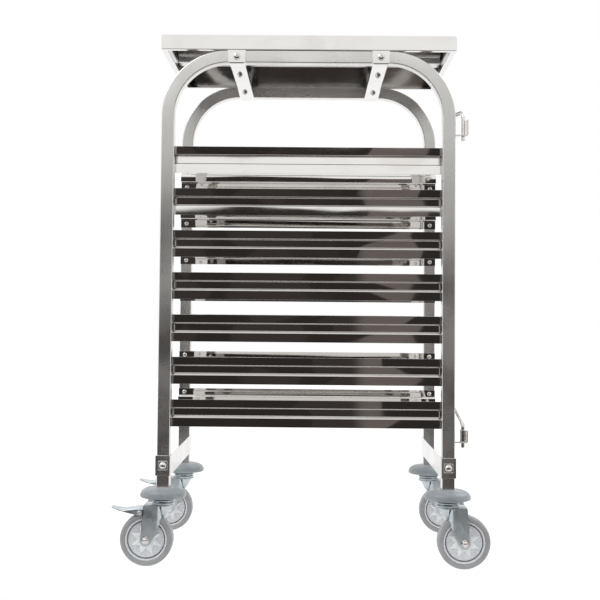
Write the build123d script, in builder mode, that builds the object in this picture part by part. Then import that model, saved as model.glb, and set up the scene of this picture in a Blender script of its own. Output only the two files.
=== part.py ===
"""Racking trolley for gastronorm pans: two bent-tube side frames, seven levels of runners,
a folded top shelf, four swivel castors with bumpers and a swinging retaining bar.

Sizes are millimetres. +X is along the runners, +Y is from the front side frame to the rear
one, and +Z is up. The floor is at Z 0. Every piece is drawn about the trolley's own centre
and moved by origin_shift when it is written, so that the middle of the whole box is at X 0.
"""
import math
import os

from build123d import *

os.makedirs("parts", exist_ok=True)

# ---- frame -------------------------------------------------------------------------------
frame_length = 566.0       # over the legs, along X
frame_depth = 387.0        # over the legs, along Y
frame_top = 986.0          # top of the top tubes
tube = 25.0                # square tube
tube_wall = 1.2
tube_corner = 2.5          # outside corner radius of the tube
bend_radius = 115.5        # of the tube's centre line

# ---- runners -----------------------------------------------------------------------------
levels = 7
runner_top = 802.0         # top edge of the highest runner
runner_pitch = 81.6
runner_upper_web = 16.0    # flat above the ledge
runner_ledge_height = 18.0
runner_lower_web = 18.0    # flat below the ledge
runner_ledge = 12.5        # how far the ledge stands in from the web
runner_slope = 2.0         # how much shorter the ledge's face is than its root, each side
runner_wall = 1.2
runner_fold = 1.6          # inside radius of a fold

# ---- shelf -------------------------------------------------------------------------------
shelf_past_ends = 2.5      # how far the lip stands out past the legs, along X
shelf_past_sides = 2.0     # and along Y
shelf_lip = 29.0
shelf_wall = 1.2
shelf_flange = 12.0        # inward return at the foot of the lip
shelf_corner = 4.0
shelf_fold = 1.5
stiffener_width = 36.0
stiffener_depth = 14.0
stiffener_flange = 11.0
stiffener_end_gap = 14.0   # from the stiffener's end to the lip
stud_half_spacing = 92.0   # of the two shelf studs in a cross bar, from the middle

# ---- cross bars under the shelf ----------------------------------------------------------
cross_bar_x = 139.0
cross_bar_width = 25.0
cross_bar_end_width = 34.0
cross_bar_wall = 2.0
cross_bar_side = 20.0      # height of the channel's sides
cross_bar_side_gap = 1.0   # from the end of a side to the tube

# ---- lower braces ------------------------------------------------------------------------
brace_rise = 41.0          # middle of a brace above the legs' feet
brace_height = 38.0
brace_wall = 1.6
brace_end_width = 27.0
brace_emboss = 18.0        # square raised border round the bolt
brace_emboss_rim = 1.6
brace_emboss_height = 0.8

# ---- fixings -----------------------------------------------------------------------------
screw_head_radius = 4.6
screw_head_height = 2.4
screw_radius = 2.4
screw_length = 4.0
bolt_head_radius = 7.0
bolt_head_height = 4.4
bolt_radius = 4.0
bolt_length = 12.0
fixing_gap = 0.1           # radial room round a screw or bolt in its hole
dome_share = 0.9           # of a head's height that is rounded
stud_radius = 3.0
cap_nut_radius = 6.0
cap_nut_height = 6.5

# ---- retaining bar -----------------------------------------------------------------------
rod_radius = 4.0
pivot_out = 16.0           # pivot line out from the leg's face
bar_back = 40.0            # bar behind the pivot line when shut
bar_in = 14.5              # bar inward of the pivot line when shut
gate_top = 870.0           # centre of the top arm
slope_foot = 36.0          # above the lower ear, where the bar's slope ends
slope_height = 34.0
pin_length = 9.0           # of a pin below its ear
gate_bend = 12.0
gate_low_round = 16.0
ear_top_z = 823.0
ear_low_z = 236.0
ear_wall = 2.5
ear_width = 18.0
ear_reach = 25.0
ear_fold = 1.5
ear_top_lip = 32.0
ear_low_lip = 24.0
pivot_gap = 0.06           # radial running room
collar_radius = 5.6
collar_height = 22.0
collar_round = 0.6
end_play = 0.3             # axial room between a turning piece and its seat

# ---- castors -----------------------------------------------------------------------------
wheel_radius = 50.0
tyre_width = 32.0
tyre_depth = 10.0
tyre_round = 6.5
hub_rim = 3.6              # width of the hub's outer ring
hub_rim_width = 29.0
hub_groove = 1.4
hub_disc_width = 21.0
hub_boss_radius = 9.0
hub_star_points = 8
hub_star_room = 3.0        # from the star's tips to the groove
hub_star_inner = 17.0
hub_star_height = 2.2
hub_star_taper = 25.0      # degrees
hub_groove_depth = 1.6
trail = 30.0
axle_radius = 5.0
axle_gap = 0.06            # radial running room of the wheel on its axle
fork_half = 22.0           # outside of a fork plate from the wheel's middle
fork_wall = 2.5
fork_front = 1.5           # front web behind the stem's axis
fork_corner = 13.0
fork_back_top = 35.0
fork_lobe = 10.7
fork_front_drop = 12.0     # foot of the front web, below the tyre's top
fork_taper = (13.6, 8.0)   # where the front edge's slope ends, and how high above the axle
lobe_front_share = 0.95    # of the lobe's radius, where the front edge meets it
lobe_front_drop = 3.0
lobe_back_share = 0.98
lobe_back_drop = 2.0
wheel_room = 2.0           # room round the tyre inside the fork
side_room = 0.8
crown_room = 13.0          # from the tyre's top to the crown's underside
crown_wall = 2.5
crown_radius = 22.0
race_radius = 21.5
race_height = 4.0
race_bore = 12.0
skirt_top_radius = 19.0
skirt_low_radius = 7.0
skirt_height = 21.0
bearing_gap = 0.3          # ball cage above the fork's race
cage_outer = 17.0
cage_inner = 13.0
race_spacing = 2.0         # between the two races, where the balls run
upper_race_height = 7.5
upper_race_radius = 21.5
upper_race_neck = 18.5
upper_race_plate = 22.0
plate_height = 2.6
neck_height = 1.6
stem_radius = 6.0
stem_reach = 28.0          # into the leg
stem_gap = 0.06
kingpin_head_radius = 10.0
kingpin_head_height = 4.0
kingpin_room = 1.0         # round the kingpin's head
bumper_radius = 44.0
bumper_height = 19.0
bumper_seat = 5.5          # how far the flat top reaches past the leg's faces
bumper_foot = (3.0, 3.5)   # how far in and up the lower edge is rounded
bumper_draft = 0.6
bumper_rim_height = 8.0
bumper_shoulder = (9.0, 3.6)   # in from the rim and down from the top
insert_height = 32.0
insert_gap = 0.15
nut_radius = 7.5
nut_height = 5.0
nut_end = 2.0              # how far the axle shows past its head and its nut

# ---- brake pedal -------------------------------------------------------------------------
pivot_back = 42.0              # behind the stem's axis
pivot_rise = 1.4               # heights on the pedal are above the tyre's top
pedal_pin_radius = 3.0
pedal_wall = 2.0
pedal_side_gap = 0.4           # to the fork's inner face
pedal_reach = 97.0
pedal_tread = 80.0
pedal_root = 31.0
root_top_rise = 9.6
tread_top_rise = 5.3
lip_top_rise = 11.0
root_edge_drop = 3.0
root_edge_slope = 5.0          # how much higher its lower edge is at the root
tread_edge_drop = 1.0
tread_edge_in = 3.0
flat_past_pivot = 5.0
lip_root = (4.0, 1.0)          # in from the tread's end and below its top
lip_curl = (7.0, 2.0)          # out from the tread's end and below the tip's top
pedal_cut = 5.0                # how far the hollow runs past the pedal's outline
pedal_lip_wall = 1.6
pad_from = 45.0
pad_to = 53.0
pad_room = 1.0                 # over the tyre, at the pad's root, with the brake off
pad_slope = 1.0
pad_width = 22.0
pedal_ear = 6.5                # fork ear round the pedal's pin
rivet_out = 1.5                # how far a rivet's head stands out
rivet_cut = 1.0                # radial room cut between the two rivets

# ---- worked out --------------------------------------------------------------------------
tyre_top = 2 * wheel_radius
crown_low = tyre_top + crown_room
crown_top = crown_low + crown_wall
race_top = crown_top + race_height
upper_race_low = race_top + race_spacing
bumper_low = upper_race_low + upper_race_height
leg_bottom = bumper_low + bumper_height
stem_top = leg_bottom + stem_reach
brace_z = leg_bottom + brace_rise
pedal_pivot = (pivot_back, tyre_top + pivot_rise)
pedal_top_root = tyre_top + root_top_rise
pedal_top_tread = tyre_top + tread_top_rise
pedal_lip_top = tyre_top + lip_top_rise
pedal_edge_root = tyre_top - root_edge_drop
tyre_at_pad = wheel_radius + math.sqrt(wheel_radius ** 2 - (pad_from - trail) ** 2)
pad_low = tyre_at_pad + pad_room
shelf_length = frame_length + 2 * shelf_past_ends
shelf_depth = frame_depth + 2 * shelf_past_sides
leg_x = frame_length / 2 - tube / 2
leg_y = frame_depth / 2 - tube / 2
leg_inner_y = frame_depth / 2 - tube
leg_inner_x = frame_length / 2 - tube
tube_low = frame_top - tube
bend_inner = bend_radius - tube / 2
bar_past_bend = max(0.0, cross_bar_x + cross_bar_width / 2 - (leg_x - bend_radius))
bend_sag = bend_inner - math.sqrt(bend_inner ** 2 - bar_past_bend ** 2)
cross_bar_low = tube_low - bend_sag - cross_bar_wall
shelf_top_z = frame_top + shelf_lip
runner_height = runner_upper_web + runner_ledge_height + runner_lower_web
fork_inner = fork_half - fork_wall
hub_radius = wheel_radius - tyre_depth
ring_inner = hub_radius - hub_rim
groove_inner = ring_inner - hub_groove
hub_star_outer = groove_inner - hub_star_room
pivot_x = frame_length / 2 + pivot_out
gate_top_tip = ear_top_z - pin_length
gate_low_tip = ear_low_z - pin_length
gate_low_straight = ear_low_z + slope_foot
gate_low_bend = gate_low_straight + slope_height
left_reach = leg_x + pedal_reach
right_reach = leg_x + trail + wheel_radius
origin_shift = (left_reach - right_reach) / 2
corners = {"front_left": (-1, -1), "front_right": (1, -1), "rear_left": (-1, 1), "rear_right": (1, 1)}


def keep(builder, name):
    """Moves a finished piece into the part's frame, labels it and writes it."""
    piece = builder.part.moved(Location((origin_shift, 0, 0)))
    piece.label = name
    export_step(piece, f"parts/{name}.step")


def upright(y):
    """A plane facing -Y at that depth: its own x is X and its own y is Z."""
    return Plane.XZ.offset(-y)


def facing(side, y):
    """A plane facing side * Y at that depth: its own x is -side * X and its own y is Z."""
    return Plane(origin=(0, y, 0), x_dir=(-side, 0, 0), z_dir=(0, side, 0))


def runner_z(level):
    return runner_top - level * runner_pitch


def screw_heights():
    """Heights of every runner's two rows of screws."""
    rows = []
    for level in range(levels):
        top = runner_z(level)
        rows += [top - runner_upper_web / 2, top - runner_height + runner_lower_web / 2]
    return rows


def screw_points(end_xs, heights):
    return [(x, z) for x in end_xs for z in heights]


def domed_fixings(plane, points, head_radius, head_height, shank_radius, shank_length):
    """Separate bolts or screws whose domed heads stand out of a plane."""
    with BuildPart() as fixings:
        with BuildSketch(plane):
            with Locations(*points):
                Circle(head_radius)
        extrude(amount=head_height)
        rims = fixings.edges().group_by(Axis(plane.origin, plane.z_dir))[-1]
        fillet(rims, head_height * dome_share)
        with BuildSketch(plane):
            with Locations(*points):
                Circle(shank_radius)
        extrude(amount=-shank_length)
    return fixings


def side_frame(side):
    """One bent tube: two legs and the top, with holes for the screws, bolts and brace."""
    y = side * leg_y
    with BuildPart() as frame:
        with BuildLine(upright(y)) as route:
            FilletPolyline(
                (-leg_x, leg_bottom), (-leg_x, frame_top - tube / 2),
                (leg_x, frame_top - tube / 2), (leg_x, leg_bottom), radius=bend_radius)
        with BuildSketch(Plane(origin=(-leg_x, y, leg_bottom), x_dir=(1, 0, 0), z_dir=(0, 0, 1))):
            RectangleRounded(tube, tube, tube_corner)
            inside = tube - 2 * tube_wall
            RectangleRounded(inside, inside, tube_corner - tube_wall, mode=Mode.SUBTRACT)
        sweep(path=route.line)
        with BuildSketch(facing(-side, side * leg_inner_y)):
            with Locations(*screw_points((-leg_x, leg_x), screw_heights())):
                Circle(screw_radius + fixing_gap)
        extrude(amount=-2 * tube_wall, mode=Mode.SUBTRACT)
        with BuildSketch(facing(side, side * frame_depth / 2)):
            with Locations((-cross_bar_x, frame_top - tube / 2), (cross_bar_x, frame_top - tube / 2),
                           (-leg_x, brace_z), (leg_x, brace_z)):
                Circle(bolt_radius + fixing_gap)
        extrude(amount=-2 * tube_wall, mode=Mode.SUBTRACT)
    return frame


def runner(side, level):
    """A folded rail on the inner faces of two legs, with a ledge that carries a pan's rim."""
    web = side * leg_inner_y
    ledge = web - side * runner_ledge
    top = runner_z(level)
    ledge_top = top - runner_upper_web
    ledge_low = ledge_top - runner_ledge_height
    low = ledge_low - runner_lower_web
    with BuildPart() as rail:
        with BuildSketch(Plane.YZ.offset(-frame_length / 2)):
            with BuildLine():
                FilletPolyline(
                    (web, top), (web, ledge_top), (ledge, ledge_top - runner_slope / 2),
                    (ledge, ledge_low + runner_slope), (web, ledge_low), (web, low),
                    radius=runner_fold)
                offset(amount=runner_wall, side=Side.LEFT if side < 0 else Side.RIGHT)
            make_face()
        extrude(amount=frame_length)
        with BuildSketch(facing(-side, web)):
            heights = [top - runner_upper_web / 2, low + runner_lower_web / 2]
            with Locations(*screw_points((-leg_x, leg_x), heights)):
                Circle(screw_radius + fixing_gap)
        extrude(amount=2 * runner_wall, both=True, mode=Mode.SUBTRACT)
    return rail


def shelf():
    """A folded tray, open underneath, whose return flange rests on the top tubes."""
    with BuildPart() as tray:
        with BuildSketch(Plane.XY.offset(frame_top)):
            RectangleRounded(shelf_length, shelf_depth, shelf_corner)
        extrude(amount=shelf_lip)
        fillet(tray.faces().sort_by(Axis.Z)[-1].edges(), shelf_fold)
        with BuildSketch(Plane.XY.offset(frame_top + shelf_wall)):
            RectangleRounded(shelf_length - 2 * shelf_wall, shelf_depth - 2 * shelf_wall,
                             shelf_corner - shelf_wall)
        extrude(amount=shelf_lip - 2 * shelf_wall, mode=Mode.SUBTRACT)
        with BuildSketch(Plane.XY.offset(frame_top)):
            RectangleRounded(shelf_length - 2 * shelf_flange, shelf_depth - 2 * shelf_flange,
                             shelf_corner)
        extrude(amount=shelf_wall, mode=Mode.SUBTRACT)
    return tray


def stiffener():
    """A hat section along the middle of the shelf's underside."""
    plate = shelf_top_z - shelf_wall
    half = stiffener_width / 2
    length = shelf_length - 2 * stiffener_end_gap
    with BuildPart() as hat:
        with BuildSketch(Plane.YZ.offset(-length / 2)):
            with BuildLine():
                FilletPolyline(
                    (-half - stiffener_flange, plate), (-half, plate),
                    (-half, plate - stiffener_depth), (half, plate - stiffener_depth),
                    (half, plate), (half + stiffener_flange, plate), radius=shelf_fold)
                offset(amount=shelf_wall, side=Side.RIGHT)
            make_face()
        extrude(amount=length)
    return hat


def cross_bar(side):
    """A channel under both top tubes, with its ends turned up over their outer faces."""
    x = side * cross_bar_x
    half_length = frame_depth / 2 + cross_bar_wall
    side_half = leg_inner_y - cross_bar_side_gap
    with BuildPart() as bar:
        with BuildSketch(Plane.XY.offset(cross_bar_low)):
            with Locations((x, 0)):
                Rectangle(cross_bar_width, 2 * half_length)
        extrude(amount=cross_bar_wall)
        for edge in (-1, 1):
            with BuildSketch(Plane.XY.offset(cross_bar_low + cross_bar_wall)):
                with Locations((x + edge * (cross_bar_width - cross_bar_wall) / 2, 0)):
                    Rectangle(cross_bar_wall, 2 * side_half)
            extrude(amount=cross_bar_side)
        for end in (-1, 1):
            with BuildSketch(upright(end * (frame_depth / 2 + cross_bar_wall / 2))):
                with Locations((x, (frame_top + cross_bar_low) / 2)):
                    RectangleRounded(cross_bar_end_width, frame_top - cross_bar_low, cross_bar_wall)
                with Locations((x, frame_top - tube / 2)):
                    Circle(bolt_radius + fixing_gap, mode=Mode.SUBTRACT)
            extrude(amount=cross_bar_wall / 2, both=True)
        with Locations((x, -stud_half_spacing, cross_bar_low), (x, stud_half_spacing, cross_bar_low)):
            Cylinder(stud_radius + fixing_gap, 4 * cross_bar_wall, mode=Mode.SUBTRACT)
    return bar


def lower_brace(side):
    """A flat strip inside two legs, with its ends folded over the legs' outer faces."""
    inner = side * leg_inner_x
    end_mid = inner + side * brace_end_width / 2
    with BuildPart() as brace:
        with BuildSketch(Plane.YZ.offset(inner - side * brace_wall / 2)):
            with Locations((0, brace_z)):
                Rectangle(frame_depth + 2 * brace_wall, brace_height)
        extrude(amount=brace_wall / 2, both=True)
        for end in (-1, 1):
            face = end * frame_depth / 2
            with BuildSketch(facing(end, face)):
                with Locations((-end * (end_mid - side * brace_wall / 2), brace_z)):
                    RectangleRounded(brace_end_width + brace_wall, brace_height, brace_wall)
                with Locations((-end * side * leg_x, brace_z)):
                    Circle(bolt_radius + fixing_gap, mode=Mode.SUBTRACT)
            extrude(amount=brace_wall)
            with BuildSketch(facing(end, face + end * brace_wall)):
                with Locations((-end * side * leg_x, brace_z)):
                    Rectangle(brace_emboss, brace_emboss)
                    inside = brace_emboss - 2 * brace_emboss_rim
                    Rectangle(inside, inside, mode=Mode.SUBTRACT)
            extrude(amount=brace_emboss_height)
    return brace


def shelf_studs():
    """Weld studs down from the shelf through the cross bars, each with a cap nut below."""
    points = [(x, y) for x in (-cross_bar_x, cross_bar_x)
              for y in (-stud_half_spacing, stud_half_spacing)]
    with BuildPart() as studs:
        with BuildSketch(Plane.XY.offset(cross_bar_low - cap_nut_height)):
            with Locations(*points):
                Circle(cap_nut_radius)
        extrude(amount=cap_nut_height)
        fillet(studs.edges().group_by(Axis.Z)[0], cap_nut_radius / 2)
        with BuildSketch(Plane.XY.offset(cross_bar_low)):
            with Locations(*points):
                Circle(stud_radius)
        extrude(amount=shelf_top_z - shelf_wall - cross_bar_low)
    return studs


def gate_bar():
    """The retaining rod: two arms that end in downward pins, and the bar between them."""
    y = -leg_y
    bar_x = pivot_x - bar_in
    bar_y = y + bar_back
    with BuildPart() as rod:
        with BuildLine() as route:
            FilletPolyline(
                (pivot_x, y, gate_top_tip), (pivot_x, y, gate_top), (bar_x, bar_y, gate_top),
                (bar_x, bar_y, gate_low_bend), (pivot_x, y, gate_low_straight),
                (pivot_x, y, gate_low_tip),
                radius=[gate_bend, gate_bend, gate_low_round, gate_low_round])
        with BuildSketch(Plane(origin=(pivot_x, y, gate_top_tip), z_dir=(0, 0, 1))):
            Circle(rod_radius)
        sweep(path=route.line)
    return rod


def gate_collar():
    """The sleeve on the rod that stands on the lower ear."""
    seat = ear_low_z + ear_wall + end_play
    with BuildPart() as collar:
        with BuildSketch(Plane((pivot_x, -leg_y, seat))):
            Circle(collar_radius)
            Circle(rod_radius, mode=Mode.SUBTRACT)
        extrude(amount=collar_height)
        rims = collar.edges().filter_by(GeomType.CIRCLE).group_by(Axis.Z)[-1]
        fillet(rims.sort_by(SortBy.RADIUS)[-1], collar_round)
    return collar


def gate_ear(z, lip):
    """A folded lug on the front right leg, with a hole for a pin and an upturned lip."""
    root = frame_length / 2
    with BuildPart() as ear:
        with BuildSketch(upright(-leg_y)):
            with BuildLine():
                FilletPolyline((root, z), (root + ear_reach, z), (root + ear_reach, z + lip),
                               radius=ear_fold + ear_wall)
                offset(amount=ear_wall, side=Side.LEFT)
            make_face()
        extrude(amount=ear_width / 2, both=True)
        with BuildSketch(Plane.XY.offset(z)):
            with Locations((pivot_x, -leg_y)):
                Circle(rod_radius + pivot_gap)
        extrude(amount=ear_wall, both=True, mode=Mode.SUBTRACT)
    return ear


def behind(corner, back, z):
    """A point in a castor's upright middle plane, that far behind its stem's axis."""
    return (corners[corner][0] * (leg_x + back), z)


def leg_inserts():
    """The square plugs in the feet of the legs that the castors' stems screw into."""
    points = [(x * leg_x, y * leg_y) for x, y in corners.values()]
    size = tube - 2 * tube_wall - 2 * insert_gap
    with BuildPart() as plugs:
        with BuildSketch(Plane.XY.offset(leg_bottom)):
            with Locations(*points):
                RectangleRounded(size, size, tube_corner - tube_wall)
                Circle(stem_radius + stem_gap, mode=Mode.SUBTRACT)
        extrude(amount=insert_height)
    return plugs


def ball_cages():
    """The rings that hold the swivel balls, one under each castor's upper race."""
    points = [(x * leg_x, y * leg_y) for x, y in corners.values()]
    with BuildPart() as cages:
        with BuildSketch(Plane.XY.offset(race_top + bearing_gap)):
            with Locations(*points):
                Circle(cage_outer)
                Circle(cage_inner, mode=Mode.SUBTRACT)
        extrude(amount=upper_race_low - race_top - bearing_gap)
    return cages


def castor_plane(corner):
    """The upright plane through a castor's stem that a turned profile is drawn in."""
    x, y = corners[corner]
    return Plane(origin=(x * leg_x, y * leg_y, 0), x_dir=(1, 0, 0), z_dir=(0, -1, 0))


def stem_axis(corner):
    x, y = corners[corner]
    return Axis((x * leg_x, y * leg_y, 0), (0, 0, 1))


def bumper(corner):
    """A thick rubber disc with a domed top between the leg and the castor."""
    with BuildPart() as disc:
        with BuildSketch(castor_plane(corner)):
            with BuildLine():
                hole = stem_radius + stem_gap
                flat = tube / 2 + bumper_seat
                foot = (bumper_radius - bumper_foot[0], bumper_low)
                rim_low = (bumper_radius, bumper_low + bumper_foot[1])
                rim_high = (bumper_radius - bumper_draft, bumper_low + bumper_rim_height)
                shoulder = (bumper_radius - bumper_shoulder[0], leg_bottom - bumper_shoulder[1])
                Line((hole, bumper_low), foot)
                TangentArc(foot, rim_low, tangent=(1, 0.1))
                Line(rim_low, rim_high)
                Spline(rim_high, shoulder, (flat, leg_bottom), tangents=[(-0.5, 1), (-1, 0)])
                Line((flat, leg_bottom), (hole, leg_bottom))
                Line((hole, leg_bottom), (hole, bumper_low))
            make_face()
        revolve(axis=stem_axis(corner))
    return disc


def castor_stem(corner):
    """The threaded stem, the upper race plate below it and the kingpin through the fork."""
    head_top = crown_low - end_play
    plate_low = bumper_low - plate_height
    neck_low = plate_low - neck_height
    with BuildPart() as stem:
        with BuildSketch(castor_plane(corner)):
            with BuildLine():
                Polyline(
                    (0, stem_top), (stem_radius, stem_top), (stem_radius, bumper_low),
                    (upper_race_plate, bumper_low), (upper_race_plate, plate_low),
                    (upper_race_neck, plate_low), (upper_race_neck, neck_low),
                    (upper_race_radius, neck_low), (upper_race_radius, upper_race_low),
                    (stem_radius, upper_race_low), (stem_radius, head_top),
                    (kingpin_head_radius, head_top),
                    (kingpin_head_radius, head_top - kingpin_head_height),
                    (0, head_top - kingpin_head_height), close=True)
            make_face()
        revolve(axis=stem_axis(corner))
    return stem


def fork(corner):
    """A pressed channel round the wheel, with a crown that holds the lower race."""
    s, f = corners[corner]
    stem = (s * leg_x, f * leg_y)
    mid = f * leg_y
    lobe = behind(corner, trail, wheel_radius)
    braked = s < 0
    with BuildPart() as piece:
        with BuildSketch(Plane.XY.offset(wheel_radius - fork_lobe)):
            length = trail + 2 * (fork_lobe + fork_corner)
            with Locations((stem[0] + s * (fork_front + length / 2), mid)):
                RectangleRounded(length, 2 * fork_half, fork_corner)
                RectangleRounded(length - 2 * fork_wall, 2 * fork_inner, fork_corner - fork_wall,
                                 mode=Mode.SUBTRACT)
        extrude(amount=crown_top - wheel_radius + fork_lobe)
        with BuildSketch(upright(mid)):
            with BuildLine():
                Polyline(
                    behind(corner, fork_front, crown_top),
                    behind(corner, fork_front, tyre_top - fork_front_drop),
                    behind(corner, fork_taper[0], wheel_radius + fork_taper[1]),
                    behind(corner, trail - fork_lobe * lobe_front_share, wheel_radius - lobe_front_drop),
                    behind(corner, trail + fork_lobe * lobe_back_share, wheel_radius - lobe_back_drop),
                    behind(corner, fork_back_top, crown_top), close=True)
            make_face()
            with Locations(lobe):
                Circle(fork_lobe)
            if braked:
                with Locations(behind(corner, *pedal_pivot)):
                    Circle(pedal_ear)
        extrude(amount=fork_half, both=True, mode=Mode.INTERSECT)
        with BuildSketch(Plane.XY.offset(crown_low)):
            with Locations(stem):
                Circle(crown_radius)
            with Locations((stem[0] + s * fork_back_top / 2, mid)):
                Rectangle(fork_back_top, 2 * fork_half)
        extrude(amount=crown_wall)
        with BuildSketch(Plane.XY.offset(crown_top)):
            with Locations(stem):
                Circle(race_radius)
                Circle(race_bore, mode=Mode.SUBTRACT)
        extrude(amount=race_top - crown_top)
        with BuildSketch(upright(mid)):
            with Locations(lobe):
                Circle(axle_radius + fixing_gap)
        extrude(amount=2 * fork_half, both=True, mode=Mode.SUBTRACT)
        with BuildSketch(Plane.XY.offset(crown_low)):
            with Locations(stem):
                Circle(kingpin_head_radius + kingpin_room)
        extrude(amount=-kingpin_head_height - end_play - kingpin_room, mode=Mode.SUBTRACT)
        with Locations((*stem, crown_top)):
            Cylinder(stem_radius + stem_gap, 4 * crown_wall, mode=Mode.SUBTRACT)
        with BuildSketch(upright(mid)):
            with Locations(lobe):
                Circle(wheel_radius + wheel_room)
        extrude(amount=tyre_width / 2 + side_room, both=True, mode=Mode.SUBTRACT)
        if braked:
            with BuildSketch(upright(mid)):
                with Locations(behind(corner, *pedal_pivot)):
                    Circle(pedal_pin_radius)
            extrude(amount=fork_half + rivet_out, both=True)
            with BuildSketch(upright(mid)):
                with Locations(behind(corner, *pedal_pivot)):
                    Circle(pedal_pin_radius + rivet_cut)
            pin_inside = fork_inner - pedal_side_gap - pedal_wall
            extrude(amount=pin_inside, both=True, mode=Mode.SUBTRACT)
    return piece


def skirt(corner):
    """The half cone pressed down from the crown's leading edge."""
    s, f = corners[corner]
    skirt_low = crown_low - skirt_height
    with BuildPart() as cone:
        with BuildSketch(castor_plane(corner)):
            with BuildLine():
                Polyline((skirt_top_radius - crown_wall, crown_low), (skirt_top_radius, crown_low),
                         (skirt_low_radius, skirt_low), (skirt_low_radius - crown_wall, skirt_low),
                         close=True)
            make_face()
        revolve(axis=stem_axis(corner))
        with BuildSketch(Plane.XY.offset(skirt_low)):
            with Locations((s * (leg_x + fork_front + crown_radius), f * leg_y)):
                Rectangle(2 * crown_radius, 2 * crown_radius)
        extrude(amount=skirt_height, mode=Mode.SUBTRACT)
    return cone


def axle(corner):
    """The wheel bolt with a hexagon head on the outside, and its nut on the inside."""
    f = corners[corner][1]
    mid = f * leg_y
    centre = behind(corner, trail, wheel_radius)
    with BuildPart() as bolt:
        with BuildSketch(upright(mid)):
            with Locations(centre):
                Circle(axle_radius)
        extrude(amount=fork_half + nut_height + nut_end, both=True)
        with BuildSketch(facing(f, mid + f * fork_half)):
            with Locations((-f * centre[0], centre[1])):
                RegularPolygon(nut_radius, 6)
        extrude(amount=nut_height)
    with BuildPart() as nut:
        with BuildSketch(facing(-f, mid - f * fork_half)):
            with Locations((f * centre[0], centre[1])):
                RegularPolygon(nut_radius, 6)
                Circle(axle_radius + axle_gap, mode=Mode.SUBTRACT)
        extrude(amount=nut_height)
    return bolt, nut


def star_points():
    """The outline of the star on a hub's disc, with an inner corner straight down."""
    points = []
    for i in range(2 * hub_star_points):
        radius = hub_star_outer if i % 2 else hub_star_inner
        angle = math.radians(i * 180 / hub_star_points - 90)
        points.append((radius * math.cos(angle), radius * math.sin(angle)))
    return points


def wheel_hub(corner):
    """A moulded hub: outer ring, sunk disc with a star of ridges on each side, and a boss."""
    mid = corners[corner][1] * leg_y
    centre = behind(corner, trail, wheel_radius)
    with BuildPart() as hub:
        with BuildSketch(upright(mid)):
            with Locations(centre):
                Circle(hub_radius)
        extrude(amount=hub_rim_width / 2, both=True)
        for face in (-1, 1):
            with BuildSketch(facing(face, mid + face * hub_rim_width / 2)):
                with Locations((-face * centre[0], centre[1])):
                    Circle(ring_inner)
            extrude(amount=-(hub_rim_width - hub_disc_width) / 2, mode=Mode.SUBTRACT)
            disc = facing(face, mid + face * hub_disc_width / 2)
            with BuildSketch(disc):
                with Locations((-face * centre[0], centre[1])):
                    Circle(ring_inner)
                    Circle(groove_inner, mode=Mode.SUBTRACT)
            extrude(amount=-hub_groove_depth, mode=Mode.SUBTRACT)
            with BuildSketch(disc):
                with Locations((-face * centre[0], centre[1])):
                    Polygon(*star_points(), align=None)
            extrude(amount=hub_star_height, taper=hub_star_taper)
        with BuildSketch(upright(mid)):
            with Locations(centre):
                Circle(hub_boss_radius)
        extrude(amount=fork_inner - end_play, both=True)
        with BuildSketch(upright(mid)):
            with Locations(centre):
                Circle(axle_radius + axle_gap)
        extrude(amount=fork_half, both=True, mode=Mode.SUBTRACT)
    return hub


def tyre(corner):
    """The rubber ring on the hub, with rounded shoulders."""
    mid = corners[corner][1] * leg_y
    centre = behind(corner, trail, wheel_radius)
    with BuildPart() as ring:
        with BuildSketch(upright(mid)):
            with Locations(centre):
                Circle(wheel_radius)
                Circle(hub_radius, mode=Mode.SUBTRACT)
        extrude(amount=tyre_width / 2, both=True)
        outer = ring.edges().filter_by(GeomType.CIRCLE).group_by(SortBy.RADIUS)[-1]
        fillet(outer, tyre_round)
    return ring


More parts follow.
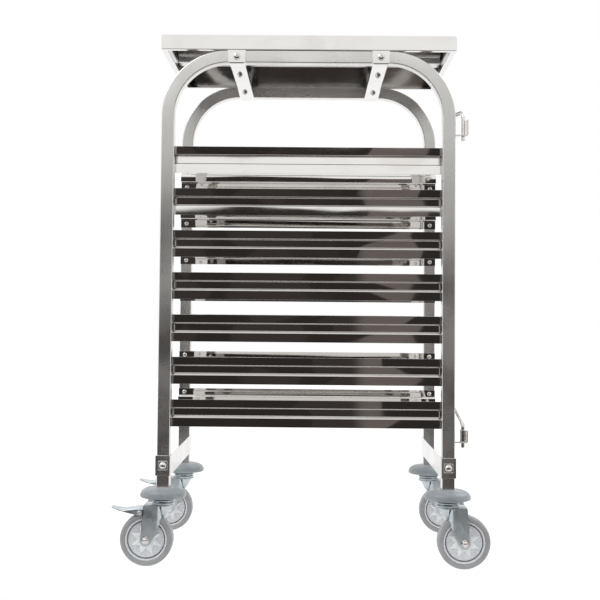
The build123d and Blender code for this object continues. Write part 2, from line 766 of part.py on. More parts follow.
def brake_pedal(corner):
    """A channel that straddles the tyre and hinges on the fork, with a foot tread and a pad."""
    mid = corners[corner][1] * leg_y
    half = fork_inner - pedal_side_gap
    top = [behind(corner, pedal_root, pedal_top_root),
           behind(corner, pivot_back + flat_past_pivot, pedal_top_root),
           behind(corner, pedal_tread, pedal_top_tread)]
    edge = [behind(corner, pedal_tread - tread_edge_in, tyre_top - tread_edge_drop),
            behind(corner, pivot_back, pedal_edge_root),
            behind(corner, pedal_root, pedal_edge_root + root_edge_slope)]
    with BuildPart() as pedal:
        with BuildSketch(upright(mid)):
            with BuildLine():
                Polyline(*top, *edge, close=True)
            make_face()
        extrude(amount=half, both=True)
        inner_top = [(x, z - pedal_wall) for x, z in top]
        cut_low = pedal_edge_root - pedal_cut
        with BuildSketch(upright(mid)):
            with BuildLine():
                Polyline(*inner_top, behind(corner, pedal_tread + pedal_cut, cut_low),
                         behind(corner, pedal_root, cut_low), close=True)
            make_face()
        extrude(amount=half - pedal_wall, both=True, mode=Mode.SUBTRACT)
        s = corners[corner][0]
        upper = [behind(corner, pedal_tread - lip_root[0], pedal_top_tread - lip_root[1]),
                 behind(corner, pedal_tread + lip_curl[0], pedal_lip_top - lip_curl[1]),
                 behind(corner, pedal_reach, pedal_lip_top)]
        lower = [(x, z - pedal_lip_wall) for x, z in reversed(upper)]
        with BuildSketch(upright(mid)):
            with BuildLine():
                Spline(*upper, tangents=[(s, 0.3), (s, 0.05)])
                Line(upper[-1], lower[0])
                Spline(*lower, tangents=[(-s, -0.05), (-s, -0.3)])
                Line(lower[-1], upper[0])
            make_face()
        extrude(amount=half, both=True)
        with BuildSketch(upright(mid)):
            with BuildLine():
                pad_root = pedal_top_root - pedal_wall / 2
                Polyline(behind(corner, pad_from, pad_root), behind(corner, pad_from, pad_low),
                         behind(corner, pad_to, pad_low - pad_slope),
                         behind(corner, pad_to, pad_root), close=True)
            make_face()
        extrude(amount=pad_width / 2, both=True)
        with BuildSketch(upright(mid)):
            with Locations(behind(corner, *pedal_pivot)):
                Circle(pedal_pin_radius + pivot_gap)
        extrude(amount=fork_half, both=True, mode=Mode.SUBTRACT)
    return pedal


# ---- frame pieces ------------------------------------------------------------------------
for side, place in ((-1, "front"), (1, "rear")):
    keep(side_frame(side), f"side_frame_{place}")
    for level in range(levels):
        keep(runner(side, level), f"runner_{place}_{level + 1}")
    heads = facing(-side, side * (leg_inner_y - runner_wall))
    screws = domed_fixings(heads, screw_points((-leg_x, leg_x), screw_heights()),
                           screw_head_radius, screw_head_height, screw_radius, screw_length)
    keep(screws, f"runner_screws_{place}")

for side, place in ((-1, "left"), (1, "right")):
    keep(cross_bar(side), f"top_cross_bar_{place}")
    keep(lower_brace(side), f"lower_brace_{place}")

keep(shelf(), "shelf_top")
keep(stiffener(), "shelf_stiffener")
keep(shelf_studs(), "shelf_studs")


def outer_bolts(points, wall):
    """Domed bolts on both outer faces of the side frames, through a plate of that thickness."""
    with BuildPart() as group:
        for end in (-1, 1):
            seat = facing(end, end * (frame_depth / 2 + wall))
            bolts = domed_fixings(seat, points, bolt_head_radius, bolt_head_height,
                                  bolt_radius, bolt_length)
            add(bolts.part)
    return group


keep(outer_bolts([(-cross_bar_x, frame_top - tube / 2), (cross_bar_x, frame_top - tube / 2)],
                 cross_bar_wall), "cross_bar_bolts")
keep(outer_bolts([(-leg_x, brace_z), (leg_x, brace_z)], brace_wall), "brace_bolts")

# ---- retaining bar -----------------------------------------------------------------------
keep(gate_ear(ear_top_z, ear_top_lip), "gate_ear_top")
keep(gate_ear(ear_low_z, ear_low_lip), "gate_ear_bottom")
keep(gate_bar(), "gate_bar")
keep(gate_collar(), "gate_collar")

# ---- castors -----------------------------------------------------------------------------
keep(leg_inserts(), "leg_inserts")
keep(ball_cages(), "ball_cages")
for corner in corners:
    keep(bumper(corner), f"bumper_{corner}")
    keep(castor_stem(corner), f"castor_stem_{corner}")
    with BuildPart() as whole_fork:
        add(fork(corner).part)
        add(skirt(corner).part)
    keep(whole_fork, f"fork_{corner}")
    with BuildPart() as bolt_and_nut:
        for piece in axle(corner):
            add(piece.part)
    keep(bolt_and_nut, f"axle_{corner}")
    keep(wheel_hub(corner), f"wheel_hub_{corner}")
    keep(tyre(corner), f"tyre_{corner}")
    if corners[corner][0] < 0:
        keep(brake_pedal(corner), f"brake_pedal_{corner}")
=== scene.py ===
"""Looks for a stainless steel racking trolley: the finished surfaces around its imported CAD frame.

Sizes are metres. +X runs along the runners, +Y from the front side frame to the rear one, and
+Z is up. Every place comes from the frame's own nodes, and each piece rides on a body of it.
"""

import math

import bmesh
import bpy
from bpy.props import FloatProperty, FloatVectorProperty, IntProperty, PointerProperty
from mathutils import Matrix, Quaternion, Vector


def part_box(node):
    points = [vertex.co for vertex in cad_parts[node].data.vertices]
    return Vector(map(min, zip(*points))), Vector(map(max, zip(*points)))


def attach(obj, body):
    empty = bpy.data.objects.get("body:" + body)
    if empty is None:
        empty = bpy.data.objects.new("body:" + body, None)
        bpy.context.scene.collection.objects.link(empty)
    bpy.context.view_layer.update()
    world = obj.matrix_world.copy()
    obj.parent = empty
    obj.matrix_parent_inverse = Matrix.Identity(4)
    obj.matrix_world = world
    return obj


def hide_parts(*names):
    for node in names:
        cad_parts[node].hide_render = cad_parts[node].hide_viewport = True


bl_info = {
    "name": "Racking Trolley",
    "version": (1, 0, 0),
    "blender": (4, 5, 0),
    "location": "3D View > Sidebar > Trolley",
    "description": "Builds the finished pieces of a racking trolley around its CAD frame",
    "category": "Add Mesh",
}

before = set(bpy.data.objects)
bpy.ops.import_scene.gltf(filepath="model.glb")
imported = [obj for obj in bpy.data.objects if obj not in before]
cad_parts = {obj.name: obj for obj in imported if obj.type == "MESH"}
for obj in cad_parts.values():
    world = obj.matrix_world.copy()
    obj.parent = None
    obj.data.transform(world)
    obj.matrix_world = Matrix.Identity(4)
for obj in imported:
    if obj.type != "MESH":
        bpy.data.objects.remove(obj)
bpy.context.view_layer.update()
PLACES = {"front": -1, "rear": 1}
SIDES = {"left": -1, "right": 1}
CORNERS = [f"{place}_{side}" for place in PLACES for side in SIDES]
RUNNERS = sorted(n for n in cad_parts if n.startswith("runner_") and n[-1].isdigit())
X, Y, Z = Vector((1, 0, 0)), Vector((0, 1, 0)), Vector((0, 0, 1))


# ---- settings ----------------------------------------------------------------------------
def size(name, description, default):
    """A length in metres that a user may change."""
    return FloatProperty(name=name, description=description, default=default, unit="LENGTH",
                         min=0.0, precision=5)


def share(name, description, default):
    """A plain factor that a user may change."""
    return FloatProperty(name=name, description=description, default=default, min=0.0,
                         precision=3)


def turn(name, description, degrees):
    """An angle, given in degrees."""
    return FloatProperty(name=name, description=description, default=math.radians(degrees),
                         subtype="ANGLE", precision=4)


def colour(name, description, default):
    """A colour that a user may change."""
    return FloatVectorProperty(name=name, description=description, default=default,
                               subtype="COLOR", size=3, min=0.0, max=1.0)


class TrolleyFrameSettings(bpy.types.PropertyGroup):
    bend_radius: size("Bend radius", "Centre line of the side frames' bends", 0.1155)
    tube_corner: size("Tube corner", "Outside corner radius of the square tube", 0.0025)
    tube_wall: size("Tube wall", "Thickness of the square tube's wall", 0.0012)
    sheet: size("Sheet", "Thickness of the runners and the shelf", 0.0012)
    upper_web: size("Upper web", "Flat of a runner above its ledge", 0.016)
    ledge_height: size("Ledge height", "Height of a runner's ledge", 0.018)
    lower_web: size("Lower web", "Flat of a runner below its ledge", 0.018)
    ledge_slope: size("Ledge slope", "How much the ledge narrows towards its face", 0.002)
    web_lean: size("Web lean", "How far a runner's folds lie behind its edges", 0.00025)
    fold_radius: size("Fold radius", "Radius of the folds in the sheet pieces", 0.0014)
    shelf_flange: size("Shelf flange", "Inward return at the foot of the shelf's lip", 0.012)
    shelf_corner: size("Shelf corner", "Corner radius of the shelf", 0.004)
    hat_flange: size("Stiffener flange", "Flange each side of the shelf's stiffener", 0.011)
    hat_fold: size("Stiffener fold", "Inside radius of the stiffener's folds", 0.0025)
    bar_width: size("Cross bar width", "Width of a cross bar between its ends", 0.025)
    bar_side: size("Cross bar side", "Height of a cross bar's upturned sides", 0.020)
    bar_sheet: size("Cross bar sheet", "Thickness of a cross bar", 0.002)
    brace_sheet: size("Brace sheet", "Thickness of a lower brace", 0.0016)
    emboss: size("Emboss", "Side of the raised square round a brace bolt", 0.018)
    emboss_rim: size("Emboss rim", "Width of the raised square's border", 0.0016)
    emboss_height: size("Emboss height", "Height of the raised square's border", 0.0008)
    sheet_edge: size("Sheet edge", "Rounding on cut sheet edges", 0.0004)


class TrolleyFixingSettings(bpy.types.PropertyGroup):
    screw_radius: size("Screw head radius", "Head of a runner screw", 0.0046)
    screw_height: size("Screw head height", "Height of a runner screw's head", 0.0024)
    bolt_radius: size("Bolt head radius", "Head of a frame bolt", 0.007)
    bolt_height: size("Bolt head height", "Height of a frame bolt's head", 0.0044)
    socket: size("Socket", "Half the width of a head's drive socket", 0.0016)
    nut_radius: size("Cap nut radius", "Across the corners of a cap nut, halved", 0.006)
    nut_height: size("Cap nut height", "Height of a cap nut", 0.0065)
    stud_radius: size("Stud radius", "Radius of a shelf stud", 0.003)


class TrolleyGateSettings(bpy.types.PropertyGroup):
    rod_radius: size("Rod radius", "Radius of the retaining bar", 0.004)
    corner_bend: size("Corner bend", "Bend radius at the bar's top arm", 0.012)
    slope_bend: size("Slope bend", "Bend radius at the ends of the bar's slope", 0.016)
    slope_foot: size("Slope foot", "Height of the slope's foot above the lower ear", 0.036)
    slope_height: size("Slope height", "Height of the slope", 0.034)
    pin_length: size("Pin length", "Length of a pin below its ear", 0.009)
    ear_sheet: size("Ear sheet", "Thickness of an ear", 0.0025)
    ear_fold: size("Ear fold", "Outside radius of an ear's fold", 0.004)
    collar_round: size("Collar rounding", "Rounding on the collar's rim", 0.0006)


class TrolleyCastorSettings(bpy.types.PropertyGroup):
    stem_radius: size("Stem radius", "Radius of a castor's stem", 0.006)
    plate_radius: size("Plate radius", "Radius of the plate under the bumper", 0.022)
    race_radius: size("Race radius", "Outside radius of the ball races", 0.0215)
    neck_radius: size("Neck radius", "Waist between the plate and the upper race", 0.0185)
    bumper_draft: size("Bumper draft", "How much the bumper's rim narrows upwards", 0.0006)
    bumper_edge: size("Bumper edge", "Rounding under the bumper's rim", 0.003)
    bumper_seat: size("Bumper seat", "Radius of the flat on top of the bumper", 0.018)
    fork_sheet: size("Fork sheet", "Thickness of a fork's plate", 0.0025)
    fork_corner: size("Fork corner", "Radius of the fork's upright corners", 0.013)
    fork_front: size("Fork front", "Front web of the fork behind the stem's axis", 0.0015)
    fork_lobe: size("Fork lobe", "Radius of a fork arm's foot", 0.0107)
    fork_back: size("Fork back", "Back edge of the fork at its crown, behind the stem", 0.035)
    crown_drop: size("Crown drop", "Crown below the top of the lower race", 0.004)
    web_height: size("Web height", "Height of the fork's front web", 0.0275)
    skirt_height: size("Skirt height", "Height of the half cone below the crown", 0.021)
    skirt_low: size("Skirt foot radius", "Radius of the half cone at its foot", 0.007)
    skirt_top: size("Skirt top radius", "Radius of the half cone at the crown", 0.019)
    nut_radius: size("Axle nut radius", "Across the corners of an axle nut, halved", 0.0075)
    nut_height: size("Axle nut height", "Height of an axle nut", 0.005)
    bolt_end: size("Bolt end", "Length of the wheel bolt beyond its nut", 0.002)
    washer: size("Washer", "Thickness of the washer under an axle nut", 0.0007)
    axle_radius: size("Axle radius", "Radius of the wheel bolt", 0.005)
    pin_radius: size("Pedal pin radius", "Radius of the brake pedal's rivets", 0.003)
    pivot_back: size("Pedal pivot back", "Pedal pivot behind the stem's axis", 0.042)
    pivot_rise: size("Pedal pivot rise", "Pedal pivot above the top of the tyre", 0.0014)
    tyre_depth: size("Tyre depth", "Thickness of the tyre on its hub", 0.010)
    tyre_round: size("Tyre rounding", "Radius of the tyre's shoulders", 0.0065)
    hub_rim: size("Hub rim", "Width of the hub's outer ring", 0.0036)
    hub_groove: size("Hub groove", "Width of the groove inside the hub's ring", 0.0020)
    hub_disc: size("Hub disc", "Thickness of the hub's sunk disc", 0.021)
    boss_radius: size("Boss radius", "Radius of the hub's boss", 0.009)
    star_tips: IntProperty(name="Star tips", description="Tips of the star on a hub", default=8)
    star_outer: size("Star outer radius", "Radius at the star's tips", 0.032)
    star_inner: size("Star inner radius", "Radius between the star's tips", 0.017)
    star_height: size("Star height", "Height of the star's ridges", 0.0038)
    pedal_sheet: size("Pedal sheet", "Thickness of a brake pedal", 0.002)
    pedal_start: size("Pedal start", "Front of the pedal, behind the stem's axis", 0.031)
    pedal_flat: size("Pedal flat", "End of the pedal's level part", 0.048)
    pedal_heel: size("Pedal heel", "Lowest point of the pedal's tread", 0.078)
    pedal_rise: size("Pedal rise", "Level part of the pedal above the tyre", 0.0096)
    pedal_dip: size("Pedal dip", "Lowest point of the tread above the tyre", 0.0054)
    pedal_tip: size("Pedal tip", "Tip of the pedal above the tyre", 0.011)
    pedal_flange: size("Pedal flange", "Depth of the pedal's side flanges", 0.0126)
    pad_start: size("Brake pad front", "Front of a brake pad, behind the stem's axis", 0.045)
    pad_end: size("Brake pad back", "Back of a brake pad, behind the stem's axis", 0.053)
    pad_half: size("Brake pad half width", "Half the width of a brake pad", 0.011)
    pedal_fold: size("Pedal fold", "Radius of the pedal's side folds", 0.003)


class TrolleyFinishSettings(bpy.types.PropertyGroup):
    steel: colour("Steel", "Colour of the stainless steel", (0.70, 0.686, 0.672))
    polish: share("Polish", "Roughness of the polished runners", 0.018)
    sheet_polish: share("Sheet polish", "Roughness of the shelf, cross bars and braces", 0.06)
    brush: share("Brush", "Roughness of the brushed frame", 0.23)
    zinc: colour("Zinc", "Colour of the plated castor plates", (0.53, 0.58, 0.605))
    bumper: colour("Bumper", "Colour of the bumper rubber", (0.255, 0.285, 0.305))
    tyre: colour("Tyre", "Colour of the tyre rubber", (0.27, 0.28, 0.29))
    hub: colour("Hub", "Colour of the hub plastic", (0.70, 0.72, 0.74))
    plug: colour("Plug", "Colour of the plugs in the legs", (0.05, 0.05, 0.055))


class TrolleyStageSettings(bpy.types.PropertyGroup):
    camera_side: size("Camera side", "Camera to the right of the object's middle", 0.01517)
    camera_back: size("Camera distance", "Camera in front of the object's middle", 2.4006)
    camera_height: size("Camera height", "Camera above the floor", 0.47907)
    camera_yaw: turn("Camera yaw", "Turn of the camera to its left", 0.534)
    camera_pitch: turn("Camera pitch", "Tilt of the camera upwards", 2.788)
    camera_roll: turn("Camera roll", "Roll of the camera", 0.493)
    lens: share("Lens", "Focal length in millimetres on a 36 mm sensor", 69.39)
    shift: FloatProperty(name="Shift", description="Vertical lens shift", default=-0.0712)
    studio_white: share("Studio white", "Brightness of the white studio round the object", 1.16)
    dark_top: turn("Dark top", "How high the dark side of the studio reaches", 6.9)
    dark: colour("Dark side", "Colour of the studio behind the camera", (0.034, 0.029, 0.027))
    floor_front: size("Floor front", "How far the white floor runs in front", 0.42)
    floor_glow: share("Floor glow", "Light that the white floor gives of its own", 0.93)
    floor_span: size("Floor span", "How far the white floor runs to the sides and the back", 6.0)


# ---- mesh helpers ------------------------------------------------------------------------
def rounded(points, radii, steps=6):
    """A line through the points, with each inner corner made an arc."""
    points = [Vector(p) for p in points]
    if not hasattr(radii, "__len__"):
        radii = [radii] * (len(points) - 2)
    line = [points[0]]
    for before, corner, after, radius in zip(points, points[1:], points[2:], radii):
        into, out = (before - corner).normalized(), (after - corner).normalized()
        half = into.angle(out) / 2
        centre = corner + (into + out).normalized() * (radius / math.sin(half))
        first = corner + into * (radius / math.tan(half)) - centre
        last = corner + out * (radius / math.tan(half)) - centre
        whole = first.rotation_difference(last)
        for i in range(steps + 1):
            line.append(centre + Quaternion(whole.axis, whole.angle * i / steps) @ first)
    return line + [points[-1]]


def arc(centre, radii, start, end, steps):
    """Points (a, b) along part of an ellipse, both ends included. Angles are in degrees."""
    points = []
    for i in range(steps + 1):
        angle = math.radians(start + (end - start) * i / steps)
        points.append((centre[0] + radii[0] * math.cos(angle),
                       centre[1] + radii[1] * math.sin(angle)))
    return points


def box_ring(half_a, half_b, corner, steps=5):
    """A rounded rectangle as (a, b) pairs, anticlockwise."""
    ring = []
    for quarter, (a, b) in enumerate(((1, 1), (-1, 1), (-1, -1), (1, -1))):
        centre = (a * (half_a - corner), b * (half_b - corner))
        ring += arc(centre, (corner, corner), 90 * quarter, 90 * quarter + 90, steps)
    return ring


def circle_ring(radius, steps=20):
    """A circle as (a, b) pairs, anticlockwise."""
    return arc((0, 0), (radius, radius), 0, 360, steps)[:-1]


def sheet_outline(line, wall):
    """The outline of a bent sheet: the line, and back one wall to its left. Uses x and y."""
    other = []
    for i, point in enumerate(line):
        before = (point - line[max(i - 1, 0)]).normalized()
        after = (line[min(i + 1, len(line) - 1)] - point).normalized()
        before, after = (before, after) if i else (after, after)
        after = after if i < len(line) - 1 else before
        left = Vector((-before.y, before.x, 0)) + Vector((-after.y, after.x, 0))
        left.normalize()
        other.append(point + left * (wall / max(0.3, left.dot(Vector((-before.y, before.x, 0))))))
    return list(line) + other[::-1]


def sweep(path, section, up):
    """Rings of a section of (across, up) pairs along a path."""
    rows, top = [], Vector(up)
    for i, point in enumerate(path):
        ahead = (path[min(i + 1, len(path) - 1)] - path[max(i - 1, 0)]).normalized()
        top = (top - ahead * top.dot(ahead)).normalized()
        across = ahead.cross(top)
        rows.append([point + across * a + top * b for a, b in section])
    return rows


def dome(radius, height, socket, steps=7):
    """A turned domed head as (radius, height) pairs, from its socket's floor to its seat."""
    profile = [(0, height * 0.45), (socket, height * 0.5), (socket, height * 0.985)]
    start = math.degrees(math.asin(min(0.9, socket / radius)) + 0.12)
    profile += arc((0, height * 0.12), (radius, height * 0.88), 90 - start, 0, steps)
    return profile + [(radius, 0), (0, 0)]


class Shape:
    """Gathers surfaces into one mesh, with a map of metres along and across the grain."""

    def __init__(self):
        self.mesh = bmesh.new()
        self.grain = self.mesh.loops.layers.uv.new("grain")

    def skin(self, rows, closed=True, ends=True, loop=False, across=False):
        """A surface through rows of points. closed joins each row's ends, loop joins the rows."""
        mesh, count = self.mesh, len(rows[0])
        points = [[mesh.verts.new(p) for p in row] for row in rows]
        along, around = [0.0], [0.0]
        for a, b in zip(rows, rows[1:] + rows[:1]):
            along.append(along[-1] + max((p - q).length for p, q in zip(a, b)))
        widest = max(rows, key=lambda row: sum((p - q).length for p, q in zip(row, row[1:])))
        for p, q in zip(widest, widest[1:] + widest[:1]):
            around.append(around[-1] + (p - q).length)
        for i in range(len(rows) - (0 if loop else 1)):
            for j in range(count - (0 if closed else 1)):
                k, m = (i + 1) % len(rows), (j + 1) % count
                face = mesh.faces.new((points[i][j], points[i][m], points[k][m], points[k][j]))
                places = ((i, j), (i, j + 1), (i + 1, j + 1), (i + 1, j))
                for corner, (row, column) in zip(face.loops, places):
                    place = (along[row], around[column])
                    corner[self.grain].uv = place[::-1] if across else place
        if closed and ends and not loop:
            for row in (points[0], points[-1]):
                if len({tuple(round(c, 7) for c in v.co) for v in row}) > 2:
                    face = mesh.faces.new(row)
                    for corner in face.loops:
                        x, y, z = corner.vert.co
                        corner[self.grain].uv = (x + z * 0.37, y + z * 0.61)
        flat = [v for row in points for v in row]
        bmesh.ops.remove_doubles(mesh, verts=flat, dist=1e-6)

    def turned(self, profile, centre, axis=Z, steps=64, loop=False):
        """Turns (radius, height) pairs round an axis, closed at both ends unless they loop."""
        side = Vector(axis).orthogonal().normalized()
        other = Vector(axis).cross(side)
        rows = []
        for radius, height in profile:
            level = Vector(centre) + Vector(axis) * height
            rows.append([level + side * a + other * b for a, b in circle_ring(radius, steps)])
        self.skin(rows, loop=loop, across=True)

    def ring(self, outline, centre, axis=Z, steps=64):
        """A turned ring: a closed outline of (radius, height) pairs round an axis."""
        self.turned(outline, centre, axis, steps, loop=True)

    def slab(self, outline, depth):
        """A plate: an outline of points, pushed along a vector."""
        self.skin([[Vector(p) for p in outline], [Vector(p) + depth for p in outline]])

    def block(self, low, high):
        """A plain box inside a piece of several shapes."""
        ring = [(low[0], low[1]), (high[0], low[1]), (high[0], high[1]), (low[0], high[1])]
        self.slab([Vector((x, y, low[2])) for x, y in ring], Z * (high[2] - low[2]))

    def piece(self, name, look, body, *nodes, slot=None, bevel=0.0, solid=0.0, even=True,
              angle=38.0):
        """Makes the object with a finish, and puts it on its body in place of CAD nodes.

        solid is the thickness of a plate given by its outside face. slot, the record's material
        slot where the finish has another name, is not used. angle is where an edge counts as sharp.
        """
        mesh = self.mesh
        bmesh.ops.dissolve_degenerate(mesh, dist=1e-7, edges=mesh.edges)
        bmesh.ops.recalc_face_normals(mesh, faces=mesh.faces)
        data = bpy.data.meshes.new(name)
        mesh.to_mesh(data)
        mesh.free()
        data.polygons.foreach_set("use_smooth", [True] * len(data.polygons))
        data.set_sharp_from_angle(angle=math.radians(angle))
        data.materials.append(finish(look))
        piece = bpy.data.objects.new(name, data)
        bpy.context.scene.collection.objects.link(piece)
        if solid:
            plate = piece.modifiers.new("plate", "SOLIDIFY")
            plate.thickness, plate.offset = solid, -1.0
            plate.use_even_offset = even
        if bevel:
            edge = piece.modifiers.new("edge", "BEVEL")
            edge.width, edge.segments, edge.limit_method = bevel, 2, "ANGLE"
            edge.angle_limit, edge.harden_normals = math.radians(angle), True
        flats = piece.modifiers.new("flats", "WEIGHTED_NORMAL")
        flats.weight, flats.keep_sharp = 100, True
        if nodes:
            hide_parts(*nodes)
        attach(piece, body)
        return piece


# ---- finishes ----------------------------------------------------------------------------
class Nodes:
    """Adds nodes to a node tree, and feeds each with values and other nodes' outputs."""

    def __init__(self, tree):
        self.nodes, self.links = tree.nodes, tree.links

    def feed(self, socket, value):
        """Links another node's output to a socket, or sets the socket's own value."""
        if isinstance(value, bpy.types.NodeSocket):
            self.links.new(value, socket)
        else:
            socket.default_value = (*value, 1.0) if socket.type == "RGBA" else value

    def add(self, kind, **values):
        """A new node. A _ in a value's name is a space in its socket's name."""
        node = self.nodes.new(kind)
        for name, value in values.items():
            self.feed(node.inputs[name.replace("_", " ")], value)
        return node

    def mapped(self, where, stretch, tilt=0.0):
        """Coordinates stretched along each axis and tilted about Y."""
        turned = (0.0, tilt, 0.0)
        node = self.add("ShaderNodeMapping", Vector=where, Scale=stretch, Rotation=turned)
        return node.outputs["Vector"]

    def noise(self, where, scale, stretch=(1, 1, 1), detail=3.0, rough=0.55, twist=0.0):
        """A cloudy pattern from 0 to 1."""
        node = self.add("ShaderNodeTexNoise", Vector=self.mapped(where, stretch), Scale=scale,
                        Detail=detail, Roughness=rough, Distortion=twist)
        return node.outputs["Fac"]

    def cells(self, where, scale):
        """A pattern of cells, each with its own value."""
        return self.add("ShaderNodeTexVoronoi", Vector=where, Scale=scale).outputs["Color"]

    def spread(self, value, low, high, start=0.3, end=0.7):
        """Maps a pattern onto a range of values."""
        node = self.add("ShaderNodeMapRange", Value=value, From_Min=start, From_Max=end,
                        To_Min=low, To_Max=high)
        node.interpolation_type = "SMOOTHSTEP"
        return node.outputs["Result"]

    def joined(self, operation, first, second):
        """The sum or the product of two values."""
        node = self.nodes.new("ShaderNodeMath")
        node.operation = operation
        for socket, value in zip(node.inputs, (first, second)):
            self.feed(socket, value)
        return node.outputs[0]

    def blend(self, factor, first, second):
        """Mixes two colours, each a colour or another node's output."""
        node = self.nodes.new("ShaderNodeMix")
        node.data_type = "RGBA"
        self.feed(node.inputs["Factor"], factor)
        ends = {socket.name: socket for socket in node.inputs if socket.type == "RGBA"}
        self.feed(ends["A"], first)
        self.feed(ends["B"], second)
        return next(socket for socket in node.outputs if socket.type == "RGBA")


class Finish(Nodes):
    """A node material: its grain follows the mesh's map, and the rest the object's place."""

    def __init__(self, name):
        self.material = bpy.data.materials.new(f"{name}_finish")
        self.material.use_nodes = True
        super().__init__(self.material.node_tree)
        self.shader = self.nodes["Principled BSDF"]
        self.normal = None
        self.place = self.nodes.new("ShaderNodeTexCoord").outputs["Object"]
        grain = self.nodes.new("ShaderNodeUVMap")
        grain.uv_map = "grain"
        self.grain = grain.outputs["UV"]

    def patches(self, under, pattern, base, factor, most=1.0, start=0.3, end=0.7):
        """Lays a tint of the base colour over what is under it, where the pattern is high."""
        return self.blend(self.spread(pattern, 0.0, most, start, end), under,
                          tinted(base, factor))

    def bump(self, height, depth):
        """Adds relief of that depth in metres on top of what is there."""
        node = self.add("ShaderNodeBump", Height=height, Distance=depth, Strength=1.0)
        if self.normal:
            self.feed(node.inputs["Normal"], self.normal)
        self.normal = node.outputs["Normal"]

    def done(self, colour, roughness, metallic=0.0, **values):
        """Feeds the shader, and returns the material."""
        values.update(base_color=colour, roughness=roughness, metallic=metallic)
        if self.normal:
            values["normal"] = self.normal
        for name, value in values.items():
            name = name.replace("_", " ").title().replace("Ior", "IOR")
            self.feed(self.shader.inputs[name], value)
        return self.material


def tinted(base, factor):
    """A colour times a factor for each of its parts, kept within white."""
    return tuple(min(1.0, c * f) for c, f in zip(base, factor))


def polished_steel(name, base, polish):
    """Mirror-finished sheet: slightly wavy, with faint rolling lines, smears and handling marks."""
    f = Finish(name)
    f.bump(f.noise(f.place, 5.0, (0.5, 2.0, 2.0), detail=1.0), 0.0004)
    f.bump(f.noise(f.grain, 60.0, (0.5, 26.0, 1.0), detail=2.0), 0.0000004)
    smears = f.noise(f.place, 9.0, (1.0, 2.0, 2.0), detail=5.0, twist=0.6)
    rolled = f.noise(f.grain, 40.0, (0.15, 18.0, 1.0), detail=2.0)
    shade = f.patches(base, smears, base, (0.93, 0.92, 0.91), 1.0, 0.4, 0.75)
    shade = f.patches(shade, rolled, base, (0.84, 0.83, 0.82), 0.12, 0.45, 0.8)
    return f.done(shade, f.spread(smears, polish * 0.7, polish * 1.9), 1.0)


def brushed_steel(name, base, brush):
    """Fine-ground tube and plate: grain along the metal, with soft smears and a few scuffs."""
    f = Finish(name)
    grain = f.noise(f.grain, 90.0, (0.12, 30.0, 1.0), detail=4.0, rough=0.7)
    f.bump(f.noise(f.place, 4.0, detail=1.0), 0.0006)
    f.bump(grain, 0.000005)
    smears = f.noise(f.place, 7.0, detail=4.0, twist=0.2)
    scuffs = f.noise(f.place, 60.0, (1.0, 1.0, 5.0), detail=4.0, rough=0.7)
    shade = f.patches(base, grain, base, (0.90, 0.895, 0.89))
    shade = f.patches(shade, scuffs, base, (0.78, 0.77, 0.76), 0.25, 0.6, 0.8)
    return f.done(shade, f.spread(smears, brush * 0.8, brush * 1.35), 1.0)


def rod_steel(name, base):
    """Drawn bright rod with faint draw lines."""
    f = Finish(name)
    smears = f.noise(f.place, 30.0, detail=4.0)
    f.bump(f.noise(f.grain, 70.0, (0.1, 16.0, 1.0), detail=3.0), 0.000015)
    shade = f.patches(base, smears, base, (0.86, 0.85, 0.84))
    return f.done(shade, f.spread(smears, 0.14, 0.26), 1.0)


def bright_fixing(name, base):
    """Screws, bolts and nuts: bright, with turning rings and tool marks."""
    f = Finish(name)
    marks = f.noise(f.place, 420.0, detail=3.0)
    f.bump(f.noise(f.grain, 300.0, (0.2, 9.0, 1.0), detail=2.0), 0.00001)
    shade = f.patches(tinted(base, (1.06, 1.07, 1.08)), marks, base, (0.80, 0.79, 0.78))
    return f.done(shade, f.spread(marks, 0.13, 0.30), 1.0)


def plated_zinc(name, base):
    """Blue-white zinc on pressed plate: soft spangle, drawing lines and dull handling marks."""
    f = Finish(name)
    cloud = f.noise(f.place, 55.0, detail=5.0, twist=0.5)
    f.bump(f.noise(f.place, 900.0, detail=2.0), 0.000003)
    f.bump(f.noise(f.place, 40.0, detail=1.0), 0.00003)
    shade = f.patches(base, cloud, base, (0.88, 0.89, 0.90))
    shade = f.patches(shade, f.cells(f.place, 420.0), base, (1.25, 1.22, 1.2), 0.10, 0.2, 0.9)
    return f.done(shade, f.spread(cloud, 0.30, 0.40), 1.0)


def rubber(name, base, scale, dust, shine=1.0):
    """Moulded rubber: fine matt grain, paler dust and slightly darker rubbed patches."""
    f = Finish(name)
    fine = f.noise(f.place, scale, detail=4.0, rough=0.6)
    rubbed = f.noise(f.place, 45.0, detail=4.0, twist=0.7)
    f.bump(fine, 0.00005)
    shade = f.patches(base, rubbed, base, (0.84, 0.84, 0.85))
    shade = f.patches(shade, fine, base, (1.45, 1.43, 1.4), dust, 0.5, 0.8)
    roughness = f.spread(rubbed, 0.34 * shine, 0.50 * shine)
    return f.done(shade, roughness, specular_ior_level=0.6)


def hub_plastic(name, base):
    """Flake-filled grey plastic with a mottled moulded face."""
    f = Finish(name)
    cloud = f.noise(f.place, 160.0, detail=5.0, rough=0.65, twist=0.4)
    f.bump(cloud, 0.00012)
    shade = f.patches(base, cloud, base, (0.84, 0.84, 0.85))
    shade = f.patches(shade, f.cells(f.place, 900.0), base, (1.3, 1.3, 1.28), 0.25, 0.3, 0.9)
    return f.done(shade, f.spread(cloud, 0.34, 0.5), specular_ior_level=0.5)


